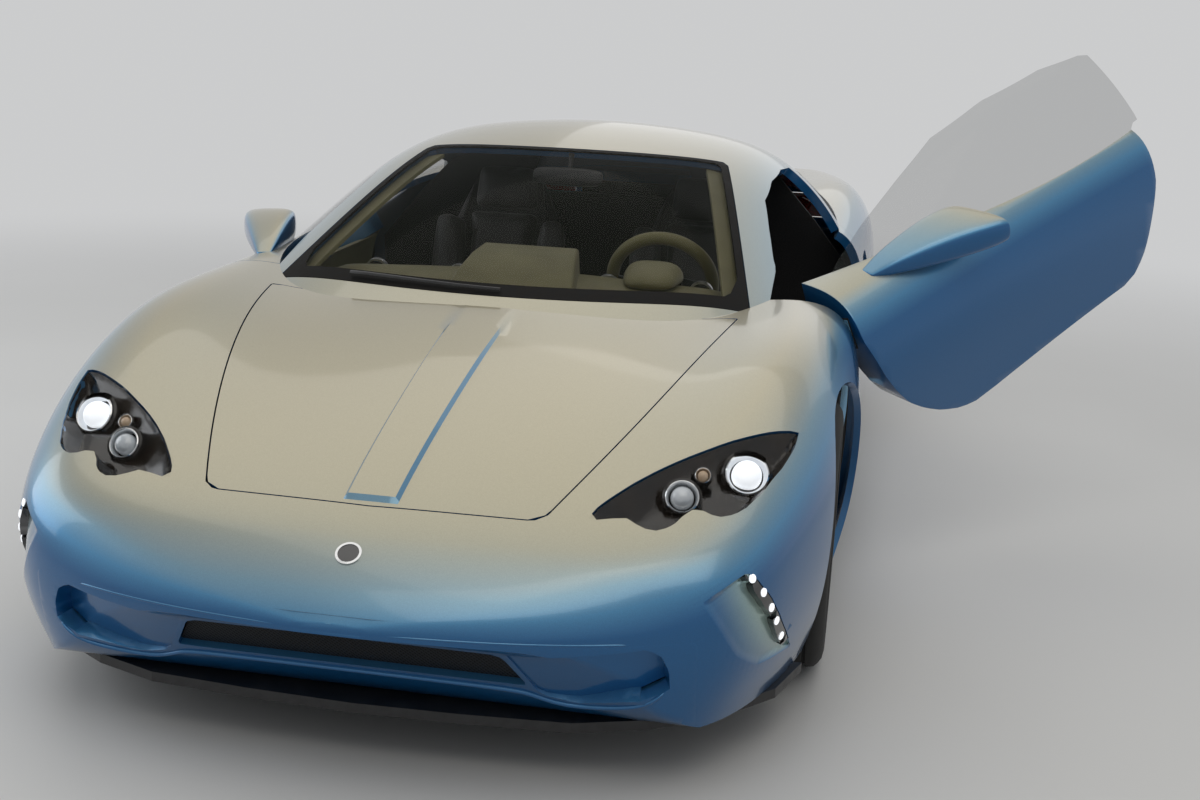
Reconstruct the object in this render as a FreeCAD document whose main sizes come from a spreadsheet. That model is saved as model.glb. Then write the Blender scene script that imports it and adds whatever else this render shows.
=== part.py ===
import FreeCAD, Part
import Sketcher
import math
import os

Vector = FreeCAD.Vector
X_AXIS = Vector(1, 0, 0)
Y_AXIS = Vector(0, 1, 0)
Z_AXIS = Vector(0, 0, 1)

# A low two-seat mid-engined sports car, in millimetres. The nose points to -Y, the car's left is +X,
# the ground is z = 0 and x = 0 is the plane of symmetry.

SIZES = {
    # wheels and axles
    "front_axle_y": -1280, "rear_axle_y": 1380, "front_wheel_x": 820, "rear_wheel_x": 800,
    "front_tyre_radius": 327, "front_tyre_width": 245, "front_rim_radius": 241,
    "rear_tyre_radius": 345, "rear_tyre_width": 305, "rear_rim_radius": 254,
    "front_arch_radius": 376, "rear_arch_radius": 392, "arch_inner_x": 520, "rear_arch_inner_x": 590,
    "liner_wall": 4, "steering_room": 50,
    "kingpin_x": 690, "kingpin_radius": 12, "stub_radius": 20, "turning_gap": 0.3,
    "disc_radius": 178, "disc_width": 30, "disc_offset": -46, "lower_arm_z": 200,
    "upper_arm_z": 452, "rear_upper_arm_z": 490, "rear_pin_x": 660, "rail_x": 425, "rail_width": 50,
    "tub_half_width": 430, "tub_wall": 12, "running_gap": 6,
    # body shell
    "panel_wall": 26, "roof_wall": 34, "door_wall": 112, "glass_wall": 6, "shut_gap": 6,
    "body_joint": 0.5,
    # front lid, windscreen and cabin opening
    "bonnet_front_y": -2008, "bonnet_front_x": 362, "bonnet_mid_x": 528, "bonnet_mid_y": -1520,
    "bonnet_rear_x": 645, "bonnet_rear_y": -955, "bonnet_crown_y": -1034,
    "spine_front_half": 55, "spine_rear_half": 70, "spine_rise": 9, "spine_rear_y": -1120,
    "screen_base_x": 668, "screen_base_y": -868, "screen_top_x": 493, "screen_top_y": 30,
    "screen_crown_y": -60, "screen_foot_y": -1008,
    # doors
    "door_open_angle": 50.5, "hinge_x": 916, "hinge_y": -770, "hinge_z": 776, "hinge_lean": 428,
    "door_front_y": -742, "door_rear_y": 520, "door_rake": 62, "door_inner_x": 745,
    # engine lid
    "lid_front_y": 800, "lid_rear_y": 1740, "lid_half_width": 470, "tail_y": 2225, "panel_split_y": 575,
    # underbody
    "floor_z": 120, "floor_wall": 22, "splitter_wall": 22,
    # cabin
    "firewall_y": -1010, "bulkhead_y": 735, "bulkhead_wall": 30,
    "seat_x": 365, "seat_width": 500, "steering_x": 365, "steering_radius": 175,
    # powertrain
    "engine_front_y": 900, "engine_length": 560, "engine_width": 560, "engine_height": 500,
    "gearbox_length": 320, "gearbox_width": 340, "gearbox_height": 300,
    "exhaust_radius": 48, "exhaust_x": 170, "exhaust_z": 330,
}

doc = FreeCAD.newDocument("supercar")
sheet = doc.addObject("Spreadsheet::Sheet", "sizes")
for row, (name, value) in enumerate(SIZES.items(), 1):
    sheet.set("A%d" % row, name)
    sheet.set("B%d" % row, str(value))
    sheet.setAlias("B%d" % row, name)
doc.recompute()


class Size:
    """A length that knows its value and the sheet expression that gives it."""

    def __init__(self, value, text=None):
        self.value = float(value)
        self.text = text if text else repr(float(value))

    def join(self, other, sign, value):
        return Size(value, "(%s %s %s)" % (self.text, sign, other.text))

    def __add__(self, other):
        other = as_size(other)
        return self.join(other, "+", self.value + other.value)

    def __sub__(self, other):
        other = as_size(other)
        return self.join(other, "-", self.value - other.value)

    def __mul__(self, other):
        other = as_size(other)
        return self.join(other, "*", self.value * other.value)

    def __truediv__(self, other):
        other = as_size(other)
        return self.join(other, "/", self.value / other.value)

    def __neg__(self):
        return Size(-self.value, "(-1 * %s)" % self.text)

    def __radd__(self, other):
        return as_size(other) + self

    def __rsub__(self, other):
        return as_size(other) - self

    def __rmul__(self, other):
        return as_size(other) * self

    def __float__(self):
        return self.value


def as_size(value):
    return value if isinstance(value, Size) else Size(value)


def cell(name):
    """The named size, bound to its cell of the sheet."""
    return Size(sheet.get(name), "sizes." + name)


def mm(name):
    """The named size as a plain number."""
    return float(sheet.get(name))


pieces = {}


def piece(name, shape, turn=None):
    """A piece whose shape comes from surfaces and cuts."""
    item = doc.addObject("Part::Feature", name)
    item.Shape = shape
    item.Placement = FreeCAD.Placement() if turn is None else turn
    item.Label = name
    pieces[name] = item
    return item


def body(name):
    item = doc.addObject("PartDesign::Body", name)
    item.Label = name
    pieces[name] = item
    return item


def origin_plane(owner, role):
    return [plane for plane in owner.Origin.OriginFeatures if plane.Role == role][0]


def outline(owner, name, role, points, circles=(), lift=None):
    """A closed outline on one of the body's own planes, each corner held by its two distances."""
    sketch = owner.newObject("Sketcher::SketchObject", name)
    sketch.AttachmentSupport = [(origin_plane(owner, role), "")]
    sketch.MapMode = "FlatFace"
    if lift is not None:
        sketch.setExpression("AttachmentOffset.Base.z", as_size(lift).text)
    corners = [(as_size(a), as_size(b)) for a, b in points]
    count = len(corners)
    for index in range(count):
        start = corners[index]
        end = corners[(index + 1) % count]
        sketch.addGeometry(Part.LineSegment(Vector(float(start[0]), float(start[1]), 0),
                                            Vector(float(end[0]), float(end[1]), 0)), False)
    for index in range(count):
        sketch.addConstraint(Sketcher.Constraint("Coincident", index, 2, (index + 1) % count, 1))
    for index, (across, along) in enumerate(corners):
        for kind, size in (("DistanceX", across), ("DistanceY", along)):
            number = sketch.addConstraint(Sketcher.Constraint(kind, -1, 1, index, 1, float(size)))
            if "sizes." in size.text:
                sketch.setExpression("Constraints[%d]" % number, size.text)
    for centre_x, centre_y, radius in circles:
        centre_x, centre_y, radius = as_size(centre_x), as_size(centre_y), as_size(radius)
        ring = sketch.addGeometry(Part.Circle(Vector(float(centre_x), float(centre_y), 0), Z_AXIS,
                                              float(radius)), False)
        limits = ((Sketcher.Constraint("DistanceX", -1, 1, ring, 3, float(centre_x)), centre_x),
                  (Sketcher.Constraint("DistanceY", -1, 1, ring, 3, float(centre_y)), centre_y),
                  (Sketcher.Constraint("Radius", ring, float(radius)), radius))
        for limit, size in limits:
            number = sketch.addConstraint(limit)
            if "sizes." in size.text:
                sketch.setExpression("Constraints[%d]" % number, size.text)
    return sketch


def pad(owner, name, sketch, length, middle=False, back=False):
    feature = owner.newObject("PartDesign::Pad", name)
    feature.Profile = sketch
    feature.setExpression("Length", as_size(length).text)
    feature.Midplane = middle
    feature.Reversed = back
    return feature


def box(x0, x1, y0, y1, z0, z1):
    return Part.makeBox(x1 - x0, y1 - y0, z1 - z0, Vector(x0, y0, z0))


def prism(corners, axis, start, end):
    """Extrude an outline, given in the two other axes, along X, Y or Z."""
    places = {"X": lambda a, b: Vector(start, a, b), "Y": lambda a, b: Vector(a, start, b),
              "Z": lambda a, b: Vector(a, b, start)}
    runs = {"X": Vector(end - start, 0, 0), "Y": Vector(0, end - start, 0), "Z": Vector(0, 0, end - start)}
    points = [places[axis](a, b) for a, b in corners]
    return Part.Face(Part.makePolygon(points + points[:1])).extrude(runs[axis])


def post(radius, start, run, sides=12, bore=False):
    """A round bar with flat sides, or its bore when the flats have to clear the radius."""
    if bore:
        radius = radius / math.cos(math.pi / sides)
    turn = FreeCAD.Rotation(Z_AXIS, run)
    corners = [start + turn.multVec(Vector(radius * math.cos(2 * math.pi * step / sides),
                                           radius * math.sin(2 * math.pi * step / sides), 0))
               for step in range(sides)]
    return Part.Face(Part.makePolygon(corners + corners[:1])).extrude(run)


def bar(radius, start, run):
    """A round bar or bore."""
    return Part.makeCylinder(radius, run.Length, start, run)


def mirrored(shape):
    return shape.mirror(Vector(0, 0, 0), X_AXIS)


def both(shape):
    return Part.makeCompound([shape, mirrored(shape)])


def one(shape):
    """The solid of a cut result, or its solids together when there are several."""
    solids = [solid for solid in shape.Solids if solid.Volume > 1000]
    return solids[0] if len(solids) == 1 else Part.makeCompound(solids)


# The body skin. Each station is a half section at one y: (x, z) of the sill, the low side, the widest
# point, the upper side, the shoulder, the wing crest, its inner slope, the valley, the mid and the centre.
SKIN = (
    (-2256, (60, 346), (64, 350), (66, 354), (66, 358), (62, 362), (56, 365), (48, 367), (36, 368),
     (20, 369), (0, 370)),
    (-2235, (285, 342), (292, 348), (296, 354), (294, 360), (282, 372), (262, 382), (230, 390), (180, 394),
     (95, 398), (0, 400)),
    (-2195, (465, 335), (482, 346), (490, 358), (488, 370), (470, 388), (435, 406), (380, 418), (300, 426),
     (160, 432), (0, 436)),
    (-2130, (610, 218), (645, 265), (662, 315), (660, 372), (640, 412), (590, 446), (510, 464), (390, 472),
     (200, 480), (0, 484)),
    (-2050, (725, 120), (780, 230), (800, 320), (798, 410), (772, 480), (705, 515), (600, 524), (450, 524),
     (220, 528), (0, 532)),
    (-1820, (830, 120), (880, 240), (898, 350), (893, 465), (862, 562), (780, 605), (650, 614), (480, 606),
     (240, 607), (0, 611)),
    (-1550, (900, 120), (952, 250), (972, 380), (967, 520), (930, 645), (835, 706), (700, 710), (530, 685),
     (260, 680), (0, 684)),
    (-1280, (930, 120), (976, 250), (992, 390), (990, 560), (955, 710), (866, 786), (730, 782), (570, 742),
     (290, 742), (0, 748)),
    (-1000, (935, 120), (975, 250), (992, 390), (990, 570), (960, 730), (878, 806), (745, 805), (600, 772),
     (310, 790), (0, 802)),
    (-720, (932, 120), (962, 250), (976, 390), (978, 570), (954, 725), (880, 805), (755, 810), (620, 790),
     (320, 815), (0, 830)),
    (-350, (930, 120), (950, 250), (952, 390), (958, 560), (944, 715), (885, 810), (770, 830), (640, 830),
     (330, 840), (0, 845)),
    (100, (930, 120), (945, 250), (940, 390), (948, 560), (940, 715), (888, 820), (780, 850), (650, 860),
     (330, 870), (0, 875)),
    (550, (935, 120), (955, 250), (955, 400), (962, 570), (952, 735), (893, 845), (790, 880), (660, 890),
     (330, 900), (0, 905)),
    (950, (945, 120), (978, 250), (986, 420), (990, 600), (972, 770), (902, 885), (790, 915), (660, 905),
     (330, 905), (0, 905)),
    (1380, (945, 120), (986, 250), (998, 430), (998, 620), (977, 800), (897, 915), (780, 935), (650, 910),
     (330, 900), (0, 900)),
    (1750, (925, 140), (968, 270), (980, 440), (977, 620), (948, 800), (867, 910), (760, 925), (640, 905),
     (330, 900), (0, 900)),
    (2080, (880, 170), (920, 300), (930, 450), (925, 620), (890, 790), (820, 895), (720, 915), (610, 905),
     (320, 905), (0, 908)),
    (2300, (800, 200), (850, 320), (865, 460), (860, 620), (830, 780), (770, 880), (680, 905), (580, 905),
     (300, 908), (0, 910)),
)

# The cabin skin: (x, z) of the belt, the side glass, the cant rail, the roof edge, the mid and the centre.
CABIN = (
    (-1500, (820, 520), (740, 550), (640, 580), (480, 600), (240, 615), (0, 620)),
    (-1200, (840, 580), (760, 635), (665, 675), (505, 706), (250, 724), (0, 730)),
    (-900, (860, 650), (790, 720), (684, 776), (515, 822), (260, 845), (0, 852)),
    (-600, (875, 700), (800, 790), (680, 872), (515, 934), (260, 962), (0, 971)),
    (-300, (885, 740), (800, 860), (665, 965), (505, 1035), (260, 1066), (0, 1076)),
    (0, (890, 770), (800, 910), (655, 1050), (495, 1112), (255, 1138), (0, 1146)),
    (330, (890, 790), (808, 940), (655, 1088), (490, 1152), (250, 1182), (0, 1192)),
    (650, (890, 800), (805, 940), (655, 1078), (490, 1146), (250, 1176), (0, 1188)),
    (1000, (880, 800), (790, 910), (640, 1020), (480, 1085), (250, 1120), (0, 1134)),
    (1350, (850, 790), (760, 870), (620, 955), (470, 1010), (250, 1040), (0, 1052)),
    (1700, (810, 770), (720, 830), (600, 890), (460, 925), (250, 945), (0, 952)),
    (2000, (780, 740), (700, 780), (590, 820), (450, 845), (250, 858), (0, 862)),
)


def beyond(line):
    """A row of control points with one more past each end, so that its curve reaches both ends."""
    return [line[0] * 2 - line[1]] + line + [line[-1] * 2 - line[-2]]


def inward(grid, inset):
    """Move each section's control points inwards by the wall, along the skin's own slope."""
    moved = []
    for index, row in enumerate(grid):
        before = grid[max(index - 1, 0)]
        after = grid[min(index + 1, len(grid) - 1)]
        normals = []
        for column in range(len(row)):
            across = row[min(column + 1, len(row) - 1)] - row[max(column - 1, 0)]
            normals.append(across.cross(after[column] - before[column]).normalize())
        lean = sum(abs(normal.y) for normal in normals) / len(normals)
        shift = inset * lean if index < len(grid) / 2 else -inset * lean
        inset_here = inset * math.sqrt(max(1 - lean * lean, 0.05))
        line = []
        for point, normal in zip(row, normals):
            flat = Vector(normal.x, 0, normal.z).normalize()
            line.append(point + flat * inset_here + Vector(0, shift, 0))
        moved.append(line)
    return moved


def blend(before, start, end, after, share):
    """The point at a share of the way along one span of an even cubic spline."""
    rest = 1 - share
    return (before * rest ** 3 + start * (4 - 6 * share ** 2 + 3 * share ** 3)
            + end * (4 - 6 * rest ** 2 + 3 * rest ** 3) + after * share ** 3) / 6


def spline(poles, steps):
    """Points along the even cubic spline that starts and ends at its first and last control points."""
    line = beyond(poles)
    points = []
    for span in range(len(poles) - 1):
        for step in range(steps):
            points.append(blend(*line[span:span + 4], step / steps))
    return points + [poles[-1]]


def facet(points):
    return Part.Face(Part.makePolygon(points + points[:1]))


def skin_solid(table, steps, inset=0, foot=None):
    """A closed solid under a skin: flat facets between the splined sections, a flat foot and two ends."""
    grid = []
    for y, *half in table:
        left = [Vector(x, y, z) for x, z in half]
        grid.append(left + [Vector(-point.x, y, point.z) for point in reversed(left[:-1])])
    if inset:
        grid = inward(grid, inset)
    if foot is not None:
        for row in grid:
            row[0] = Vector(row[0].x, row[0].y, foot)
            row[-1] = Vector(row[-1].x, row[-1].y, foot)
    columns = [spline([row[column] for row in grid], 1) for column in range(len(grid[0]))]
    rows = [spline([column[index] for column in columns], steps) for index in range(len(grid))]
    faces = [facet(rows[0]), facet(rows[-1])]
    for before, after in zip(rows, rows[1:]):
        faces.append(facet([before[0], before[-1], after[-1], after[0]]))
        for (a, b), (c, d) in zip(zip(before, before[1:]), zip(after, after[1:])):
            if (a - d).Length < (b - c).Length:
                faces += [facet([a, b, d]), facet([a, d, c])]
            else:
                faces += [facet([a, b, c]), facet([b, d, c])]
    shell = Part.Shell(faces)
    shell.sewShape()
    solid = Part.Solid(shell)
    if solid.Volume < 0:
        solid.reverse()
    return solid


def facet_loft(rings):
    """A closed solid of flat facets through rings of corners that match one to one."""
    faces = [facet(rings[0]), facet(rings[-1])]
    for before, after in zip(rings, rings[1:]):
        for index in range(len(before)):
            a, b = before[index - 1], before[index]
            c, d = after[index - 1], after[index]
            faces += [facet([a, b, d]), facet([a, d, c])]
    shell_faces = Part.Shell(faces)
    shell_faces.sewShape()
    solid = Part.Solid(shell_faces)
    if solid.Volume < 0:
        solid.reverse()
    return solid


# Whole-body solids: everything under the painted skin, and the hollow inside its panels.
FAR = 3000
NOSE_ROWS = 3
body_solid = skin_solid(SKIN, 2).common(box(-FAR, FAR, -FAR, mm("tail_y"), 0, FAR))
body_hollow = skin_solid(SKIN[NOSE_ROWS:], 1, mm("panel_wall"), -60)
body_hollow = body_hollow.common(box(-FAR, FAR, -FAR, mm("tail_y") - mm("panel_wall"), -FAR, FAR))
door_hollow = skin_solid(SKIN[NOSE_ROWS:], 1, mm("door_wall"), -60)
cabin_solid = skin_solid(CABIN, 2)
cabin_hollow = skin_solid(CABIN, 1, mm("roof_wall"))
glass_hollow = skin_solid(CABIN, 2, mm("glass_wall"))
whole = body_solid.fuse(cabin_solid)
shell = whole.cut(body_hollow.fuse(cabin_hollow))
glass_shell = cabin_solid.cut(glass_hollow).cut(body_solid)


def arc_points(start, middle, end, count):
    """Points along the arc through three points of an outline."""
    curve = Part.Arc(*[Vector(a, b, 0) for a, b in (start, middle, end)])
    return [(point.x, point.y) for point in curve.discretize(count)]


def grown(corners, margin):
    """The outline moved outwards all round by the margin."""
    wire = Part.makePolygon([Vector(a, b, 0) for a, b in corners + corners[:1]])
    moved = wire.makeOffset2D(margin, 2, False, False, False)
    return [(vertex.Point.x, vertex.Point.y) for vertex in moved.OrderedVertexes]


def plan(half):
    """A plan outline from its right-hand half, given from the front centre to the rear centre."""
    return half + [(-x, y) for x, y in reversed(half) if x > 0.01]


# Plan outline of the front lid: a bowed front corner, a side line that spreads, a crowned rear edge.
lid_side = arc_points((mm("bonnet_front_x"), mm("bonnet_front_y")), (mm("bonnet_mid_x"), mm("bonnet_mid_y")),
                      (mm("bonnet_rear_x"), mm("bonnet_rear_y")), 8)
lid_rear = arc_points((-mm("bonnet_rear_x"), mm("bonnet_rear_y")), (0, mm("bonnet_crown_y")),
                      (mm("bonnet_rear_x"), mm("bonnet_rear_y")), 9)
bonnet_plan = ([(0, mm("bonnet_front_y") - 12)] + lid_side + [p for p in reversed(lid_rear) if p[0] > -1][1:])
bonnet_plan = plan(bonnet_plan)

# Plan outline of the windscreen.
screen_foot = arc_points((-mm("screen_base_x"), mm("screen_base_y")), (0, mm("screen_foot_y")),
                         (mm("screen_base_x"), mm("screen_base_y")), 9)
screen_head = arc_points((mm("screen_top_x"), mm("screen_top_y")), (0, mm("screen_crown_y")),
                         (-mm("screen_top_x"), mm("screen_top_y")), 9)
screen_plan = screen_foot + screen_head

# Side outlines (y, z) of the door and of its window.
FRONT = mm("door_front_y")
REAR = mm("door_rear_y")
door_side = [(FRONT, 905), (FRONT, 700), (FRONT + 55, 560), (FRONT + 135, 440), (FRONT + 262, 350),
             (FRONT + 400, 305), (REAR - 220, 395), (REAR - 125, 425), (REAR - 70, 520), (REAR - 20, 700),
             (REAR, 905)]
window_side = [(FRONT + 30, 782), (FRONT + 120, 826), (-500, 879), (-320, 946), (-149, 1006), (60, 1046),
               (300, 1064), (REAR - 30, 1056), (REAR - 8, 880), (REAR - 8, 800)]


def raked(side, outer_x, inner_x, rake, margin):
    """The door's cutter: its side outline drawn in towards the cabin, the rear edge raked forwards."""
    side = grown(side, margin) if margin else side
    inner = [(y - rake * max(0, (y - FRONT) / (REAR - FRONT)), z) for y, z in side]
    wires = [Part.makePolygon([Vector(x, y, z) for y, z in line + line[:1]])
             for x, line in ((outer_x, side), (inner_x, inner))]
    return Part.makeLoft(wires, True, True)


gap = mm("shut_gap")
door_cutter = raked(door_side, 1100, mm("door_inner_x"), mm("door_rake"), 0)
door_opening = raked(door_side, 1100, mm("door_inner_x") - 200, mm("door_rake") * 1.56, gap)
door_openings = [door_opening, mirrored(door_opening)]
window_cutter = prism(window_side, "X", 560, 1100)
window_opening = prism(grown(window_side, gap), "X", 540, 1100)
window_openings = [window_opening, mirrored(window_opening)]
screen_cutter = prism(screen_plan, "Z", 600, 1300)
bonnet_cutter = prism(bonnet_plan, "Z", 300, 1300)
bonnet_hole = prism(grown(bonnet_plan, gap), "Z", 300, 1300)


def arch(axle_y, radius, centre_z, inner_x):
    """The round wheel opening of one side, from the well's inner wall outwards."""
    return post(radius, Vector(inner_x, axle_y, centre_z), Vector(FAR, 0, 0), 40, True)


front_arch = arch(mm("front_axle_y"), mm("front_arch_radius"), mm("front_tyre_radius"), mm("arch_inner_x"))
rear_arch = arch(mm("rear_axle_y"), mm("rear_arch_radius"), mm("rear_tyre_radius"), mm("rear_arch_inner_x"))
arches = [front_arch, mirrored(front_arch), rear_arch, mirrored(rear_arch)]

# Headlamp outline in plan, left lamp: inner tip, upper edge, outer tip, then the scalloped lower edge.
LAMP = [(452, -1992), (492, -1915), (566, -1822), (662, -1736), (752, -1668), (848, -1604), (836, -1690),
        (808, -1778), (776, -1860), (744, -1912), (706, -1934), (668, -1922), (640, -1952), (612, -1992),
        (570, -1996), (540, -1972)]
lamp_cutter = prism(LAMP, "Z", 380, 800)

# Daytime lamp strip in front view (x, z), along the outer edge of the corner scoop.
STRIP = [(770, 482), (790, 474), (832, 408), (860, 330), (876, 250), (860, 240), (838, 330), (808, 402)]
strip_cutter = prism(STRIP, "Y", -2200, -1700)

# Engine lid in plan.
lid_half = [(0, mm("lid_front_y") + gap), (mm("lid_half_width") + 60, mm("lid_front_y") + gap),
            (mm("lid_half_width"), mm("lid_rear_y") - 60), (mm("lid_half_width") - 60, mm("lid_rear_y")),
            (0, mm("lid_rear_y"))]
lid_plan = plan(lid_half)
lid_cutter = prism(lid_plan, "Z", 700, 1400)
lid_hole = prism(grown(lid_plan, gap), "Z", 700, 1400).fuse(
    box(-mm("lid_half_width"), mm("lid_half_width"), mm("lid_front_y") - gap, mm("lid_front_y") + gap, 700, 1400))

# Side outline (y, z) of the fixed quarter window.
SPLIT = mm("panel_split_y")
quarter_side = [(SPLIT + 30, 1040), (SPLIT + 30, 872), (SPLIT + 470, 872), (SPLIT + 520, 905),
                (SPLIT + 330, 985)]
quarter_cutter = prism(quarter_side, "X", 560, 1100)

under = mm("floor_z") + mm("floor_wall")
above_floor = box(-FAR, FAR, -FAR, FAR, under, FAR)
seam = mm("body_joint") / 2
CREASE = 352
SILL_TOP = 292
chin_box = box(-705, 705, -FAR, -2000, 0, CREASE)
front_box = box(-FAR, FAR, -FAR, FRONT - seam, under, FAR)
middle_box = box(-FAR, FAR, FRONT + seam, SPLIT - seam, SILL_TOP + seam, FAR)
sill_box = box(-FAR, FAR, FRONT + seam, SPLIT - seam, under, SILL_TOP - seam)
rear_box = box(-FAR, FAR, SPLIT + seam, FAR, under, FAR)

# Door hinge: a three-part barrel on the leaning line, its two outer parts and the pin on the front wing.
hinge_point = Vector(mm("hinge_x"), mm("hinge_y"), mm("hinge_z"))
hinge_axis = Vector(mm("hinge_lean"), -31, -903).normalize()
barrel_point = hinge_point + hinge_axis * 79


def barrel(start, end, radius, make=post):
    return make(radius, barrel_point + hinge_axis * start, hinge_axis * (end - start))


BARREL = 7
PIN = 3.5
hinge_notch = box(900, 1000, -784, -736, 690, 720)
hinge_pin = barrel(-20, 20, PIN, bar).fuse([barrel(-20, -9.3, BARREL), barrel(9.3, 20, BARREL),
                                       box(915, 940, -778, -766, 713, 724), box(920, 952, -778, -766, 684, 691)])
door_arm = barrel(-9, 9, BARREL).fuse(box(932, 949, -772, -724, 700, 710)).cut(barrel(-12, 12, PIN + 0.3, bar))

clam = shell.common(front_box).cut([chin_box, bonnet_hole, screen_cutter, lamp_cutter, mirrored(lamp_cutter),
                                    strip_cutter, mirrored(strip_cutter), hinge_notch, mirrored(hinge_notch)]
                                   + arches[:2] + door_openings)
piece("front_clam", one(clam.fuse([hinge_pin, mirrored(hinge_pin)])))

lid_shell = body_solid.cut(body_hollow)
bonnet = lid_shell.common(bonnet_cutter)
spine_plan = plan([(0, mm("bonnet_front_y") + 4), (mm("spine_front_half"), mm("bonnet_front_y") + 4),
                   (mm("spine_rear_half"), mm("spine_rear_y")), (0, mm("spine_rear_y"))])
spine = body_solid.translated(Vector(0, 0, mm("spine_rise"))).common(prism(spine_plan, "Z", 300, 1300))
bonnet = bonnet.fuse(spine.cut(body_hollow))
piece("bonnet", one(bonnet))

# The chin below the crease: a thick moulding that slopes back, with the mesh opening and a pocket each side.
chin = body_solid.cut(body_solid.translated(Vector(0, 46, 30))).common(chin_box).common(above_floor)
intake = [(-326, 318), (326, 318), (386, 216), (-386, 216)]
pocket_side = [(340, 319), (560, 338), (612, 344), (640, 326), (654, 292), (656, 250), (600, 226),
               (470, 196), (398, 212)]
chin = chin.cut([prism(intake, "Y", -2400, -1900), prism(pocket_side, "Y", -2400, -1900),
                 mirrored(prism(pocket_side, "Y", -2400, -1900))])
piece("front_fascia", one(chin))

piece("windscreen", one(glass_shell.common(screen_cutter)))
piece("cabin_frame", one(shell.common(middle_box).cut([screen_cutter] + door_openings + window_openings)))
piece("side_sills", one(shell.common(sill_box).cut(door_openings)))

lamp_front = lid_shell.common(lamp_cutter)
piece("headlamps", both(one(lamp_front)))
strip = lid_shell.common(strip_cutter)
piece("daytime_lamps", both(one(strip)))

# Tail: lamp recesses and the grille opening in the tail face, the lid opening, the side intakes.
tail_lamp = prism([(430, 800), (760, 800), (790, 740), (760, 690), (430, 690)], "Y", 2100, 2400)
tail_mesh = prism([(-400, 800), (400, 800), (400, 690), (-400, 690)], "Y", 2100, 2400)
side_intake = prism([(SPLIT + 35, 740), (SPLIT + 175, 760), (SPLIT + 215, 600), (SPLIT + 130, 420),
                     (SPLIT + 35, 400)], "X", 900, 1100)
tail_exit = box(-562, 562, 1990, FAR, 0, 282)
tail_pipes = [post(mm("exhaust_radius") + gap, Vector(x, 2100, mm("exhaust_z")), Y_AXIS * 300, 16, True)
              for x in (mm("exhaust_x"), -mm("exhaust_x"))]
# Lid hinges: eyes on the lid's front edge turn on pins held by lugs of the rear body.
LID_HINGE_Z = 1155
lid_eyes = []
lid_pins = []
for x in (-90, 90):
    line = Vector(x, mm("lid_front_y") - 1, LID_HINGE_Z)
    eye = post(6, line - Vector(15, 0, 0), X_AXIS * 30, 8).fuse(box(x - 15, x + 15, line.y, line.y + 30,
                                                                   LID_HINGE_Z - 5, LID_HINGE_Z + 2))
    lid_eyes.append(eye.cut(bar(3.3, line - Vector(30, 0, 0), X_AXIS * 60)))
    lid_pins.append(bar(3, line - Vector(31, 0, 0), X_AXIS * 62))
    for way in (-1, 1):
        lug = post(6, line + Vector(way * 25.3 - 5, 0, 0), X_AXIS * 10, 8)
        foot = box(x + way * 25.3 - 5, x + way * 25.3 + 5, line.y - 20, line.y, LID_HINGE_Z - 5, LID_HINGE_Z + 2)
        lid_pins += [lug, foot]
lid_notches = [box(x - 36, x + 36, mm("lid_front_y") - 13, mm("lid_front_y") + gap, 1000, 1300) for x in (-90, 90)]
rear = shell.common(rear_box).cut(
    lid_notches + [lid_hole, tail_lamp, mirrored(tail_lamp), tail_mesh, quarter_cutter, mirrored(quarter_cutter),
                   side_intake, mirrored(side_intake), tail_exit] + tail_pipes + arches[2:])
piece("rear_clam", one(rear.fuse(lid_pins)))
piece("engine_lid", one(shell.common(lid_cutter).fuse(lid_eyes)))
piece("quarter_windows", both(one(glass_shell.common(quarter_cutter))))
piece("tail_lamps", both(one(lid_shell.common(tail_lamp))))


def turned(angle, point, axis):
    return FreeCAD.Placement(Vector(0, 0, 0), FreeCAD.Rotation(axis, angle), point)


# Doors. The left one stands open, turned about its leaning hinge line; the right one is shut.
open_left = turned(mm("door_open_angle"), hinge_point, hinge_axis)
door_shell = body_solid.cut(door_hollow).common(box(mm("door_inner_x"), FAR, -FAR, FAR, 0, FAR))
door = one(door_shell.common(door_cutter).fuse(door_arm))
window = one(glass_shell.common(window_cutter))
for side, turn, flip in (("left", open_left, False), ("right", None, True)):
    piece("door_" + side, mirrored(door) if flip else door, turn)
    piece("door_window_" + side, mirrored(window) if flip else window, turn)

# Door mirrors: a wedge that grows back and out from a point on the door's shoulder to a square rear face.
mirror_rings = ((-600, -600, 800, 850, 790, 812), (-520, -520, 803, 895, 786, 850), (-420, -415, 815, 960, 786, 888),
                (-335, -320, 828, 1010, 792, 905), (-300, -240, 842, 1034, 800, 905))
mirror_head = facet_loft([[Vector(x1, outer, z0 * 0.86 + z1 * 0.14), Vector(x0, inner, z0), Vector(x0, inner, z1),
                           Vector(x1, outer, z1 * 0.86 + z0 * 0.14)] for inner, outer, x0, x1, z0, z1 in mirror_rings])
mirror_head = one(mirror_head.cut(body_solid.translated(Vector(0.3, 0, 0.2))))
for side, turn, flip in (("left", open_left, False), ("right", None, True)):
    piece("mirror_" + side, mirrored(mirror_head) if flip else mirror_head, turn)


def wheel_place(side, x, y, z):
    """A wheel's own X axis points away from the car, so the right-hand ones are turned half round."""
    spin = FreeCAD.Rotation(Z_AXIS, 0 if side > 0 else 180)
    return FreeCAD.Placement(Vector(side * x, y, z), spin)


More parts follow.
